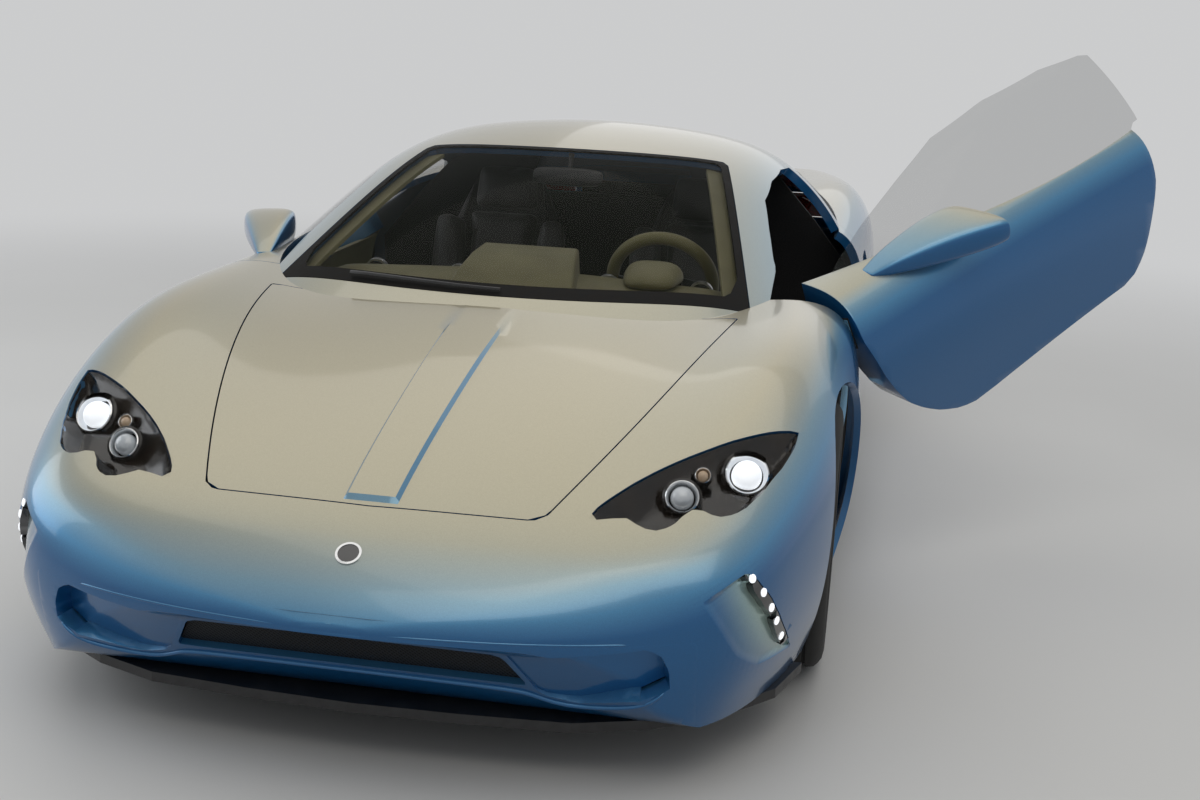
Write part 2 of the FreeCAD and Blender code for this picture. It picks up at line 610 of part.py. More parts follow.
def ring(section, sides):
    """A ring about X with flat sides: each (x, radius) corner of the section gives one band of flats."""
    rows = []
    for step in range(sides):
        turn = 2 * math.pi * (step + 0.5) / sides - math.pi / 2
        reach = 1 / math.cos(math.pi / sides)
        rows.append([Vector(x, r * reach * math.cos(turn), r * reach * math.sin(turn)) for x, r in section])
    faces = []
    for step in range(sides):
        before, after = rows[step - 1], rows[step]
        for index in range(len(section)):
            faces.append(facet([before[index - 1], before[index], after[index], after[index - 1]]))
    shell_faces = Part.Shell(faces)
    shell_faces.sewShape()
    solid = Part.Solid(shell_faces)
    if solid.Volume < 0:
        solid.reverse()
    return solid


TYRE_SIDES = 36
SPOKES = 10


def tyre(radius, width, rim_radius):
    half = width / 2
    wall = radius - rim_radius
    return ring([(-half * 0.86, rim_radius), (-half, rim_radius + wall * 0.45), (-half + 10, radius - 16),
                 (-half + 34, radius), (half - 34, radius), (half - 10, radius - 16),
                 (half, rim_radius + wall * 0.45), (half * 0.86, rim_radius)], TYRE_SIDES)


def rim(width, rim_radius):
    """Barrel, spokes, hub and brake disc, bored for the stub axle."""
    half = width / 2
    seat = rim_radius - mm("turning_gap")
    bore = mm("stub_radius") + 0.1
    back = mm("disc_offset")
    front = half * 0.72
    barrel_ring = ring([(-half * 0.84, seat), (half * 0.84, seat), (half * 0.84, seat - 16),
                        (-half * 0.84, seat - 12)], TYRE_SIDES)
    hub = post(62, Vector(back, 0, 0), X_AXIS * (front - back), 20)
    disc = post(mm("disc_radius"), Vector(back, 0, 0), X_AXIS * mm("disc_width"), 24)
    spokes = []
    for step in range(SPOKES):
        root = [Vector(x, y, 50) for x, y in ((front - 34, -17), (front, -17), (front, 17), (front - 34, 17))]
        tip = [Vector(x, y, seat - 8) for x, y in ((half * 0.50, -26), (half * 0.80, -26), (half * 0.80, 26),
                                                   (half * 0.50, 26))]
        spokes.append(facet_loft([root, tip]).rotate(Vector(0, 0, 0), X_AXIS, 360 / SPOKES * step))
    return barrel_ring.fuse([hub, disc] + spokes).cut(bar(bore, Vector(-FAR / 2, 0, 0), X_AXIS * FAR))


WHEELS = (
    # name, side, x, y, tyre radius, tyre width, rim radius
    ("front_left", 1, "front_wheel_x", "front_axle_y", "front_tyre_radius", "front_tyre_width",
     "front_rim_radius"),
    ("front_right", -1, "front_wheel_x", "front_axle_y", "front_tyre_radius", "front_tyre_width",
     "front_rim_radius"),
    ("rear_left", 1, "rear_wheel_x", "rear_axle_y", "rear_tyre_radius", "rear_tyre_width", "rear_rim_radius"),
    ("rear_right", -1, "rear_wheel_x", "rear_axle_y", "rear_tyre_radius", "rear_tyre_width", "rear_rim_radius"),
)
for name, side, x, y, radius, width, rim_radius in WHEELS:
    place = wheel_place(side, mm(x), mm(y), mm(radius))
    piece("tyre_" + name, tyre(mm(radius), mm(width), mm(rim_radius)), place)
    piece("rim_" + name, rim(mm(width), mm(rim_radius)), place)


def upright(reach, disc_inner, lower, upper):
    """An upright in its wheel's own frame: post, stub axle, and a caliper that straddles the disc."""
    gap_side = mm("running_gap")
    disc_in = disc_inner
    disc_out = disc_in + mm("disc_width")
    column = box(-reach - 16, -reach + 16, -34, 34, lower + 12.3, upper - 12.3)
    pin = bar(mm("kingpin_radius"), Vector(-reach, 0, lower - 20), Z_AXIS * (upper - lower + 40))
    stub = bar(mm("stub_radius"), Vector(-reach, 0, 0), X_AXIS * (reach + 40))
    shoe = box(disc_in - gap_side - 14, disc_out + gap_side + 14, 118, 204, -68, 68)
    slot = post(mm("disc_radius") + gap_side, Vector(disc_in - gap_side, 0, 0),
                X_AXIS * (disc_out - disc_in + 2 * gap_side), 24, True)
    arm = box(-reach - 10, disc_in - gap_side - 4, 10, 160, -24, 24)
    return column.fuse([pin, stub, arm, shoe.cut(slot)])


def wishbone(eye_x, inner_x, y, z, spread, hole):
    """A flat A-arm: two legs from the frame to an eye round the kingpin."""
    half = 12
    legs = []
    for way in (-1, 1):
        foot = y + way * spread
        legs.append(prism([(inner_x, foot - 20), (inner_x, foot + 20), (eye_x, y + 16), (eye_x, y - 16)],
                          "Z", z - half, z + half))
    eye = post(28, Vector(eye_x, y, z - half), Z_AXIS * 2 * half)
    bore = bar(hole, Vector(eye_x, y, z - 2 * half), Z_AXIS * 4 * half)
    return legs[0].fuse([legs[1], eye]).cut(bore)


tub_half = mm("tub_half_width")
reach = mm("front_wheel_x") - mm("kingpin_x")
low_arm, high_arm = mm("lower_arm_z"), mm("upper_arm_z")
centre = mm("front_tyre_radius")
knuckle = upright(reach, mm("disc_offset"), low_arm - centre, high_arm - centre)
for side, sign in (("left", 1), ("right", -1)):
    shape = knuckle if sign > 0 else mirrored(knuckle)
    piece("knuckle_front_" + side, shape,
          FreeCAD.Placement(Vector(sign * mm("front_wheel_x"), mm("front_axle_y"), centre), FreeCAD.Rotation()))
hole = mm("kingpin_radius") + 0.1
arms = [wishbone(mm("kingpin_x"), tub_half, mm("front_axle_y"), z, 150, hole) for z in (low_arm, high_arm)]
piece("front_wishbones", Part.makeCompound(arms + [mirrored(arm) for arm in arms]))

rear_centre = mm("rear_tyre_radius")
rear_reach = mm("rear_wheel_x") - mm("rear_pin_x")
rear_upright = upright(rear_reach, mm("disc_offset"), low_arm - rear_centre, mm("rear_upper_arm_z") - rear_centre)
rear_upright.translate(Vector(mm("rear_wheel_x"), mm("rear_axle_y"), rear_centre))
piece("rear_uprights", both(rear_upright))
rail_x = mm("rail_x") + mm("rail_width") / 2
rear_arms = [wishbone(mm("rear_pin_x"), rail_x, mm("rear_axle_y"), z, 150, hole)
             for z in (low_arm, mm("rear_upper_arm_z"))]
piece("rear_wishbones", Part.makeCompound(rear_arms + [mirrored(arm) for arm in rear_arms]))

# Wheel-arch liners: a thin half barrel over each wheel, standing on the underbody. The front ones widen
# inward, where the corners of a steered tyre swing past the edge of the opening.
well_radius = mm("front_arch_radius") + mm("steering_room")
low_hollow = body_hollow.common(body_hollow.translated(Vector(0, 0, -10)))
liners = []
for y, z, outline_points in (
        (mm("front_axle_y"), mm("front_tyre_radius"),
         [(505, well_radius), (790, well_radius), (885, mm("front_arch_radius")), (895, mm("front_arch_radius"))]),
        (mm("rear_axle_y"), mm("rear_tyre_radius"),
         [(575, mm("rear_arch_radius")), (900, mm("rear_arch_radius"))])):
    outer_face = [(x, radius + mm("liner_wall")) for x, radius in reversed(outline_points)]
    liner = ring(outline_points + outer_face, 28)
    liner.translate(Vector(0, y, z))
    liner = liner.common(above_floor).common(low_hollow)
    liners += [liner, mirrored(liner)]
piece("arch_liners", Part.makeCompound(liners))

# Underbody: flat floor, splitter, luggage tub, bulkheads, rear frame and diffuser.
gear_end = mm("engine_front_y") + mm("engine_length") - 10 + mm("gearbox_length")
DIFFUSER_START = gear_end + 10
floor_half = [(0, -1600), (500, -1600), (500, -903), (925, -903), (925, 1045), (570, 1045), (570, DIFFUSER_START),
              (0, DIFFUSER_START)]
floor = body("floor_pan")
pad(floor, "floor_plate", outline(floor, "floor_outline", "XY_Plane", plan(floor_half), lift=cell("floor_z")),
    cell("floor_wall"))
splitter_half = [(0, -2122), (231, -2112), (457, -2092), (606, -2036), (730, -1955), (850, -1810),
                 (898, -1656), (500, -1656), (500, -1600.5), (0, -1600.5)]
splitter = body("splitter")
pad(splitter, "splitter_plate",
    outline(splitter, "splitter_outline", "XY_Plane", plan(splitter_half), lift=cell("floor_z")),
    cell("splitter_wall"))

wall = mm("tub_wall")
tub = box(-tub_half, tub_half, -1815, -1045, under, 480)
tub = tub.cut(box(-tub_half + wall, tub_half - wall, -1815 + wall, -1045 - wall, under + wall, 500))
piece("luggage_tub", tub)

piece("front_bulkhead", prism([(-490, under), (490, under), (490, 660), (430, 700), (-430, 700), (-490, 660)],
                              "Y", mm("firewall_y") + 20, mm("firewall_y") + 20 + mm("bulkhead_wall") / 2))

# Rear bulkhead with its window, and the pane.
BACK = mm("bulkhead_y")
back_half = [(-870, under), (870, under), (890, 690), (760, 850), (620, 1000), (470, 1060), (0, 1100),
             (-470, 1060), (-620, 1000), (-760, 850), (-890, 690)]
back_window = [(-330, 900), (330, 900), (280, 1030), (-280, 1030)]
back = prism(back_half, "Y", BACK, BACK + mm("bulkhead_wall")).common(body_hollow.fuse(cabin_hollow))
back = back.cut(prism(back_window, "Y", BACK - 50, BACK + 100))
piece("rear_bulkhead", one(back))
piece("rear_window", prism(back_window, "Y", BACK + 12, BACK + 12 + mm("glass_wall")))

engine = body("engine")
front_of_engine = cell("engine_front_y")
pad(engine, "engine_block", outline(engine, "engine_outline", "XY_Plane", [
    (-cell("engine_width") / 2, front_of_engine), (cell("engine_width") / 2, front_of_engine),
    (cell("engine_width") / 2, front_of_engine + cell("engine_length")),
    (-cell("engine_width") / 2, front_of_engine + cell("engine_length"))],
    lift=cell("floor_z") + cell("floor_wall")), cell("engine_height"))
gearbox_front = front_of_engine + cell("engine_length") - 10
pad(engine, "gearbox", outline(engine, "gearbox_outline", "XY_Plane", [
    (-cell("gearbox_width") / 2, gearbox_front), (cell("gearbox_width") / 2, gearbox_front),
    (cell("gearbox_width") / 2, gearbox_front + cell("gearbox_length")),
    (-cell("gearbox_width") / 2, gearbox_front + cell("gearbox_length"))],
    lift=cell("floor_z") + cell("floor_wall")), cell("gearbox_height"))

rail = prism([(BACK + mm("bulkhead_wall"), 160), (1760, 160), (2060, 290), (2060, 520),
              (BACK + mm("bulkhead_wall"), 520)], "X", mm("rail_x") - mm("rail_width") / 2, rail_x)
rail = rail.cut(box(0, FAR, 900, 1180, 250, 440)).cut(box(0, FAR, 1580, 1980, 330, 440))
cross = box(-rail_x, rail_x, 2010, 2060, 440, 520)
piece("rear_frame", rail.fuse([mirrored(rail), cross]))

muffler = box(-330, 330, gear_end, gear_end + 150, 262, 400)
pipes = []
for sign in (-1, 1):
    point = Vector(sign * mm("exhaust_x"), gear_end + 100, mm("exhaust_z"))
    pipes.append(post(mm("exhaust_radius"), point, Y_AXIS * (2236 - point.y), 16))
bores = [post(mm("exhaust_radius") - 4, Vector(pipe.BoundBox.Center.x, gear_end + 160, mm("exhaust_z")),
              Y_AXIS * 400, 16) for pipe in pipes]
piece("exhaust", muffler.fuse(pipes).cut(bores))

diffuser = prism([(DIFFUSER_START + 0.5, 120), (DIFFUSER_START + 0.5, 142), (2218, 276), (2224, 258),
                  (DIFFUSER_START + 20, 120)], "X", -560, 560)
fins = [prism([(DIFFUSER_START + 60, 136), (DIFFUSER_START + 110, 118), (2218, 150), (2218, 262)], "X", x - 6, x + 6)
        for x in (-420, -150, 150, 420)]
piece("rear_diffuser", diffuser.fuse(fins))

SEATED = 0.3
mesh = body_solid.translated(Vector(0, 20, 13)).cut(body_solid.translated(Vector(0, 27, 17.5)))
piece("front_grille", one(mesh.common(prism(grown(intake, -SEATED), "Y", -2400, -1900))))
piece("tail_grille", box(-400 + SEATED, 400 - SEATED, 2205, 2213, 690 + SEATED, 800 - SEATED))

# Cabin: dash with its column, centre console, seats and steering wheel.
dash = prism([(-974.7, 620), (-974.7, 715), (-900, 745), (-780, 795), (-640, 818), (-560, 808), (-530, 740),
              (-590, 640), (-700, 590)], "X", -600, 600)
well = post(well_radius + 12, Vector(490, mm("front_axle_y"), mm("front_tyre_radius")), X_AXIS * 130, 28)
dash = dash.cut([well, mirrored(well)])
wheel_point = Vector(mm("steering_x"), -405, 775)
wheel_axis = Vector(0, math.cos(math.radians(24)), math.sin(math.radians(24)))
column = post(32, wheel_point - wheel_axis * 222, wheel_axis * 190, 12)
piece("dashboard", dash.fuse(column))

grip_section = [(16 * math.sin(turn), mm("steering_radius") + 14 * math.cos(turn))
                for turn in [math.radians(60 * step) for step in range(6)]]
grip = ring(grip_section, 24)
grip.Placement = FreeCAD.Placement(wheel_point, FreeCAD.Rotation(X_AXIS, wheel_axis))
boss = post(52, wheel_point - wheel_axis * 31.7, wheel_axis * 44, 16)
spokes = []
for angle in (0, 180, 270):
    spoke = Part.makeBox(mm("steering_radius") - 8, 34, 10, Vector(0, -17, -8))
    spoke.Placement = FreeCAD.Placement(wheel_point, FreeCAD.Rotation(X_AXIS, 24 - 90).multiply(
        FreeCAD.Rotation(Z_AXIS, angle)))
    spokes.append(spoke)
piece("steering_wheel", grip.fuse([boss] + spokes))

tunnel_side = mm("seat_x") - mm("seat_width") / 2
console = prism([(-940, under), (-940, 585), (-720, 560), (-300, 420), (560, 400), (700, 520), (730, 520),
                 (730, under)], "X", 10 - tunnel_side, tunnel_side - 10)
piece("centre_console", console)

seat_side = [(-70, under), (-95, 290), (-50, 345), (380, 292), (470, 560), (545, 860), (570, 985), (650, 985),
             (655, 860), (560, 420), (520, under)]
seat = prism(seat_side, "X", mm("seat_x") - mm("seat_width") / 2, mm("seat_x") + mm("seat_width") / 2)
piece("seat_left", seat)
piece("seat_right", mirrored(seat))

doc.recompute()
for item in doc.Objects:
    if "Invalid" in item.State or "Error" in item.State:
        raise RuntimeError("%s did not build" % item.Name)
os.makedirs("parts", exist_ok=True)
for name, item in pieces.items():
    shape = item.Shape
    if shape.isNull() or not shape.isValid() or not shape.Solids:
        raise RuntimeError("%s has no sound solid" % name)
    shape.exportStep("parts/%s.step" % name)
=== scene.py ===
import bpy
import bmesh
import math
import numpy as np
from mathutils import Matrix, Vector
from mathutils.bvhtree import BVHTree


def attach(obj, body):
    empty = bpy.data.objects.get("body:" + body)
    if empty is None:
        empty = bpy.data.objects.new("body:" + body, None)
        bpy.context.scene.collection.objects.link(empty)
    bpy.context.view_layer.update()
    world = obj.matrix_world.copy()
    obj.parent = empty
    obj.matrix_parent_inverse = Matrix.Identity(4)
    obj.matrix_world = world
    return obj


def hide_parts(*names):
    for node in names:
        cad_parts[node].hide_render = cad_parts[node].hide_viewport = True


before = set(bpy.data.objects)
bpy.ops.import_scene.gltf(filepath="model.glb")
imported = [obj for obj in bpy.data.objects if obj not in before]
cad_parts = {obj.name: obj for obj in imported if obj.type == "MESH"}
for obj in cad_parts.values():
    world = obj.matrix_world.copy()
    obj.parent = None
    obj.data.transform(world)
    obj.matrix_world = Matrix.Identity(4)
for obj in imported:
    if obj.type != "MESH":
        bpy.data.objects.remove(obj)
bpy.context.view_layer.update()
bpy.ops.object.select_all(action="DESELECT")

# Front wings: one thin glass-fibre moulding from the nose to the doors, painted a pale pearl blue. It is
# cut out of the whole body skin, whose half sections are (x, z) in mm at each y, from sill to centre line.
SKIN = (
    (-2256, (60, 346), (64, 350), (66, 354), (66, 358), (62, 362), (56, 365), (48, 367), (36, 368),
     (20, 369), (0, 370)),
    (-2235, (285, 342), (292, 348), (296, 354), (294, 360), (282, 372), (262, 382), (230, 390), (180, 394),
     (95, 398), (0, 400)),
    (-2195, (465, 335), (482, 346), (490, 358), (488, 370), (470, 388), (435, 406), (380, 418), (300, 426),
     (160, 432), (0, 436)),
    (-2130, (610, 218), (645, 265), (662, 315), (660, 372), (640, 412), (590, 446), (510, 464), (390, 472),
     (200, 480), (0, 484)),
    (-2050, (725, 120), (780, 230), (800, 320), (798, 410), (772, 480), (705, 515), (600, 524), (450, 524),
     (220, 528), (0, 532)),
    (-1820, (830, 120), (880, 240), (898, 350), (893, 465), (862, 562), (780, 605), (650, 614), (480, 606),
     (240, 607), (0, 611)),
    (-1550, (900, 120), (952, 250), (972, 380), (967, 520), (930, 645), (835, 706), (700, 710), (530, 685),
     (260, 680), (0, 684)),
    (-1280, (930, 120), (976, 250), (992, 390), (990, 560), (955, 710), (866, 786), (730, 782), (570, 742),
     (290, 742), (0, 748)),
    (-1000, (935, 120), (975, 250), (992, 390), (990, 570), (960, 730), (878, 806), (745, 805), (600, 772),
     (310, 790), (0, 802)),
    (-720, (932, 120), (962, 250), (976, 390), (978, 570), (954, 725), (880, 805), (755, 810), (620, 790),
     (320, 815), (0, 830)),
    (-350, (930, 120), (950, 250), (952, 390), (958, 560), (944, 715), (885, 810), (770, 830), (640, 830),
     (330, 840), (0, 845)),
    (100, (930, 120), (945, 250), (940, 390), (948, 560), (940, 715), (888, 820), (780, 850), (650, 860),
     (330, 870), (0, 875)),
    (550, (935, 120), (955, 250), (955, 400), (962, 570), (952, 735), (893, 845), (790, 880), (660, 890),
     (330, 900), (0, 905)),
    (950, (945, 120), (978, 250), (986, 420), (990, 600), (972, 770), (902, 885), (790, 915), (660, 905),
     (330, 905), (0, 905)),
    (1380, (945, 120), (986, 250), (998, 430), (998, 620), (977, 800), (897, 915), (780, 935), (650, 910),
     (330, 900), (0, 900)),
    (1750, (925, 140), (968, 270), (980, 440), (977, 620), (948, 800), (867, 910), (760, 925), (640, 905),
     (330, 900), (0, 900)),
    (2080, (880, 170), (920, 300), (930, 450), (925, 620), (890, 790), (820, 895), (720, 915), (610, 905),
     (320, 905), (0, 908)),
    (2300, (800, 200), (850, 320), (865, 460), (860, 620), (830, 780), (770, 880), (680, 905), (580, 905),
     (300, 908), (0, 910)),
)


def spline(poles, steps):
    """Points along the even cubic spline that starts and ends at its first and last poles."""
    line = np.concatenate([[2 * poles[0] - poles[1]], poles, [2 * poles[-1] - poles[-2]]])
    t = np.linspace(0, 1, steps, endpoint=False).reshape([-1] + [1] * (poles.ndim - 1))
    spans = [((1 - t) ** 3 * line[i] + (4 - 6 * t ** 2 + 3 * t ** 3) * line[i + 1]
              + (4 - 6 * (1 - t) ** 2 + 3 * (1 - t) ** 3) * line[i + 2] + t ** 3 * line[i + 3]) / 6
             for i in range(len(poles) - 1)]
    return np.concatenate(spans + [poles[-1:]])


def skin_mesh(name, table, along, across):
    """The smooth skin through a table of half sections, as a mesh of quads that face outwards."""
    half = np.array([[(x, y, z) for x, z in row] for y, *row in table]) / 1000
    poles = np.concatenate([half, half[:, -2::-1] * (-1, 1, 1)], 1)
    grid = spline(spline(poles, along).transpose(1, 0, 2), across)
    columns, rows = grid.shape[:2]
    faces = [(c * rows + r, c * rows + r + 1, (c + 1) * rows + r + 1, (c + 1) * rows + r)
             for c in range(columns - 1) for r in range(rows - 1)]
    mesh = bpy.data.meshes.new(name)
    mesh.from_pydata(grid.reshape(-1, 3).tolist(), [], faces)
    mesh.validate()
    if mesh.polygons[len(mesh.polygons) // 2].normal.z < 0:
        mesh.flip_normals()
    return mesh


body_skin = skin_mesh("body_skin", SKIN, 10, 6)


def chin_mesh(rows, across):
    """The flat-sided underside of the nose, between the two lower edges of its skin."""
    feet = spline(np.array([(row[1][0], row[0], row[1][1]) for row in SKIN]) / 1000, 10)[:rows]
    share = np.linspace(-1, 1, across + 1)[None, :, None]
    grid = feet[:, None] * np.concatenate([share, share * 0 + 1, share * 0 + 1], 2)
    faces = [(c * (across + 1) + r, c * (across + 1) + r + 1, (c + 1) * (across + 1) + r + 1,
              (c + 1) * (across + 1) + r) for c in range(rows - 1) for r in range(across)]
    mesh = bpy.data.meshes.new("chin_skin")
    mesh.from_pydata(grid.reshape(-1, 3).tolist(), [], faces)
    if mesh.polygons[0].normal.z > 0:
        mesh.flip_normals()
    return mesh


def closed_nose(skin, chin_skin):
    """Weld the chin to the skin and close the blunt tip between them."""
    bm = bmesh.new()
    bm.from_mesh(skin)
    bm.from_mesh(chin_skin)
    bmesh.ops.remove_doubles(bm, verts=bm.verts, dist=0.0006)
    tip = [edge for edge in bm.edges if edge.is_boundary and all(vert.co.y < -2.24 for vert in edge.verts)]
    bmesh.ops.holes_fill(bm, edges=tip, sides=0)
    bm.to_mesh(skin)
    bm.free()


closed_nose(body_skin, chin_mesh(46, 48))


def trim(bm, field, keep=False):
    """Cut the mesh along field = 0 and drop the side where it is negative, unless both are kept."""
    value = field(np.array([vert.co for vert in bm.verts]))
    value[abs(value) < 2e-5] = 0
    bm.verts.index_update()
    seam = {vert for vert in bm.verts if value[vert.index] == 0}
    beyond = {vert for vert in bm.verts if value[vert.index] < 0}
    crossing = [(edge, value[edge.verts[0].index], value[edge.verts[1].index]) for edge in bm.edges
                if value[edge.verts[0].index] * value[edge.verts[1].index] < 0]
    for edge, a, b in crossing:
        seam.add(bmesh.utils.edge_split(edge, edge.verts[0], a / (a - b))[1])
    for face in {face for vert in seam for face in vert.link_faces}:
        ends = [vert for vert in face.verts if vert in seam]
        if len(ends) == 2 and not any(edge.other_vert(ends[0]) == ends[1] for edge in ends[0].link_edges):
            bmesh.utils.face_split(face, ends[0], ends[1])
    lost = [face for face in bm.faces if any(vert in beyond for vert in face.verts)]
    if not keep:
        bmesh.ops.delete(bm, geom=lost, context="FACES")


def inside(outline, a, b):
    """A field: how far a point lies inside a closed outline in mm, seen along the third axis."""
    ring = np.array(outline) / 1000
    after = np.roll(ring, -1, 0)
    edge = after - ring

    def field(points):
        place = points[:, None, [a, b]]
        share = np.clip(((place - ring) * edge).sum(2) / (edge ** 2).sum(1), 0, 1)
        near = np.linalg.norm(place - ring - share[..., None] * edge, axis=2).min(1)
        spans = (ring[:, 1] > place[..., 1]) != (after[:, 1] > place[..., 1])
        rise = np.where(edge[:, 1] == 0, 1, edge[:, 1])
        hit = ring[:, 0] + (place[..., 1] - ring[:, 1]) / rise * edge[:, 0]
        return np.where((spans & (place[..., 0] < hit)).sum(1) % 2 == 1, near, -near)
    return field


def outside(outline, a, b, gap=0.0):
    """A field: positive where a point is more than the gap outside the outline."""
    within = inside(outline, a, b)
    return lambda points: -within(points) - gap


def arc(start, middle, end, count):
    """Points on the circle through three points, from start to end."""
    (ax, ay), (bx, by), (cx, cy) = start, middle, end
    d = 2 * (ax * (by - cy) + bx * (cy - ay) + cx * (ay - by))
    a2, b2, c2 = ax * ax + ay * ay, bx * bx + by * by, cx * cx + cy * cy
    ux = (a2 * (by - cy) + b2 * (cy - ay) + c2 * (ay - by)) / d
    uy = (a2 * (cx - bx) + b2 * (ax - cx) + c2 * (bx - ax)) / d
    first, half, last = [math.atan2(y - uy, x - ux) for x, y in (start, middle, end)]
    turn = (last - first) % (2 * math.pi)
    if (half - first) % (2 * math.pi) > turn:
        turn -= 2 * math.pi
    radius = math.hypot(ax - ux, ay - uy)
    return [(ux + radius * math.cos(first + turn * k / (count - 1)),
             uy + radius * math.sin(first + turn * k / (count - 1))) for k in range(count)]


def plan(half):
    """A plan outline from its right-hand half."""
    return half + [(-x, y) for x, y in reversed(half) if x > 0.01]


def link(name, source):
    """A new object at the origin from a bmesh or a mesh."""
    mesh = source
    if isinstance(source, bmesh.types.BMesh):
        mesh = bpy.data.meshes.new(name)
        source.to_mesh(mesh)
        source.free()
    mesh.name = name
    piece = bpy.data.objects.new(name, mesh)
    bpy.context.scene.collection.objects.link(piece)
    return piece


def pick(piece):
    """Select one piece and make it active."""
    bpy.ops.object.select_all(action="DESELECT")
    piece.select_set(True)
    bpy.context.view_layer.objects.active = piece


def modify(piece, kind, **settings):
    """Add a modifier and apply it."""
    pick(piece)
    modifier = piece.modifiers.new(kind, kind)
    for key, value in settings.items():
        setattr(modifier, key, value)
    bpy.ops.object.modifier_apply(modifier=modifier.name)


def smooth(piece, angle=35):
    """Smooth shading that keeps the edges sharper than an angle."""
    pick(piece)
    bpy.ops.object.shade_smooth_by_angle(angle=math.radians(angle))


def bevel_edges(piece, width, segments=2, angle=50):
    """Round the edges that are sharper than an angle."""
    modify(piece, "BEVEL", width=width, segments=segments, limit_method="ANGLE", angle_limit=math.radians(angle))


def sheet(name, source, wall, angle=35, offset=-1, bevel=None):
    """A trimmed skin with an even wall, and its edges rounded by (width, segments, angle)."""
    piece = link(name, source)
    modify(piece, "SOLIDIFY", thickness=wall, offset=offset)
    if bevel:
        bevel_edges(piece, *bevel)
    smooth(piece, angle)
    return piece


def done(piece, material, rider, *nodes, slot=None):
    """Give a finished piece its material, the body it moves with and the nodes that it stands for."""
    if material is not None:
        piece.data.materials.clear()
        piece.data.materials.append(material)
    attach(piece, rider)
    if nodes:
        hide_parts(*nodes)
    return piece


def new_material(name):
    """An empty node material: its nodes, its links, the shader and a texture coordinate."""
    material = bpy.data.materials.new(name)
    material.use_nodes = True
    nodes = material.node_tree.nodes
    place = nodes.new("ShaderNodeTexCoord")
    return material, nodes, material.node_tree.links, nodes["Principled BSDF"], place.outputs["Object"]


def add(nodes, links, kind, inputs=(), **settings):
    """A node with its settings, sockets set from values or linked from other nodes' outputs."""
    node = nodes.new("ShaderNode" + kind)
    for key, value in settings.items():
        setattr(node, key, value)
    for key, value in dict(inputs).items():
        if isinstance(value, bpy.types.NodeSocket):
            links.new(value, node.inputs[key])
        else:
            node.inputs[key].default_value = value
    return node


def ramp(nodes, links, factor, *stops):
    """A colour ramp of (place, colour) stops over a factor."""
    node = nodes.new("ShaderNodeValToRGB")
    links.new(factor, node.inputs[0])
    while len(node.color_ramp.elements) < len(stops):
        node.color_ramp.elements.new(0.5)
    for element, (position, colour) in zip(node.color_ramp.elements, stops):
        element.position = position
        element.color = (*colour, 1)
    return node.outputs[0]


def finish(name, dark, light, scale=30, rough=(0.4, 0.5), metallic=0.0, bump=0.02, depth=0.001, **sockets):
    """A moulded or machined finish: two close tones in soft patches, with grain in gloss and surface."""
    material, nodes, links, shader, place = new_material(name)
    patches = add(nodes, links, "TexNoise", {"Vector": place, "Scale": scale, "Detail": 6.0}).outputs["Fac"]
    grain = add(nodes, links, "TexNoise", {"Vector": place, "Scale": scale * 25, "Detail": 3.0}).outputs["Fac"]
    links.new(ramp(nodes, links, patches, (0.35, dark), (0.65, light)), shader.inputs["Base Color"])
    spread = add(nodes, links, "MapRange", {"Value": patches, "From Min": 0.3, "From Max": 0.7,
                                            "To Min": rough[0], "To Max": rough[1]})
    links.new(spread.outputs["Result"], shader.inputs["Roughness"])
    raised = add(nodes, links, "Bump", {"Height": grain, "Strength": bump, "Distance": depth})
    links.new(raised.outputs["Normal"], shader.inputs["Normal"])
    shader.inputs["Metallic"].default_value = metallic
    for key, value in sockets.items():
        shader.inputs[key.replace("_", " ")].default_value = value
    return material


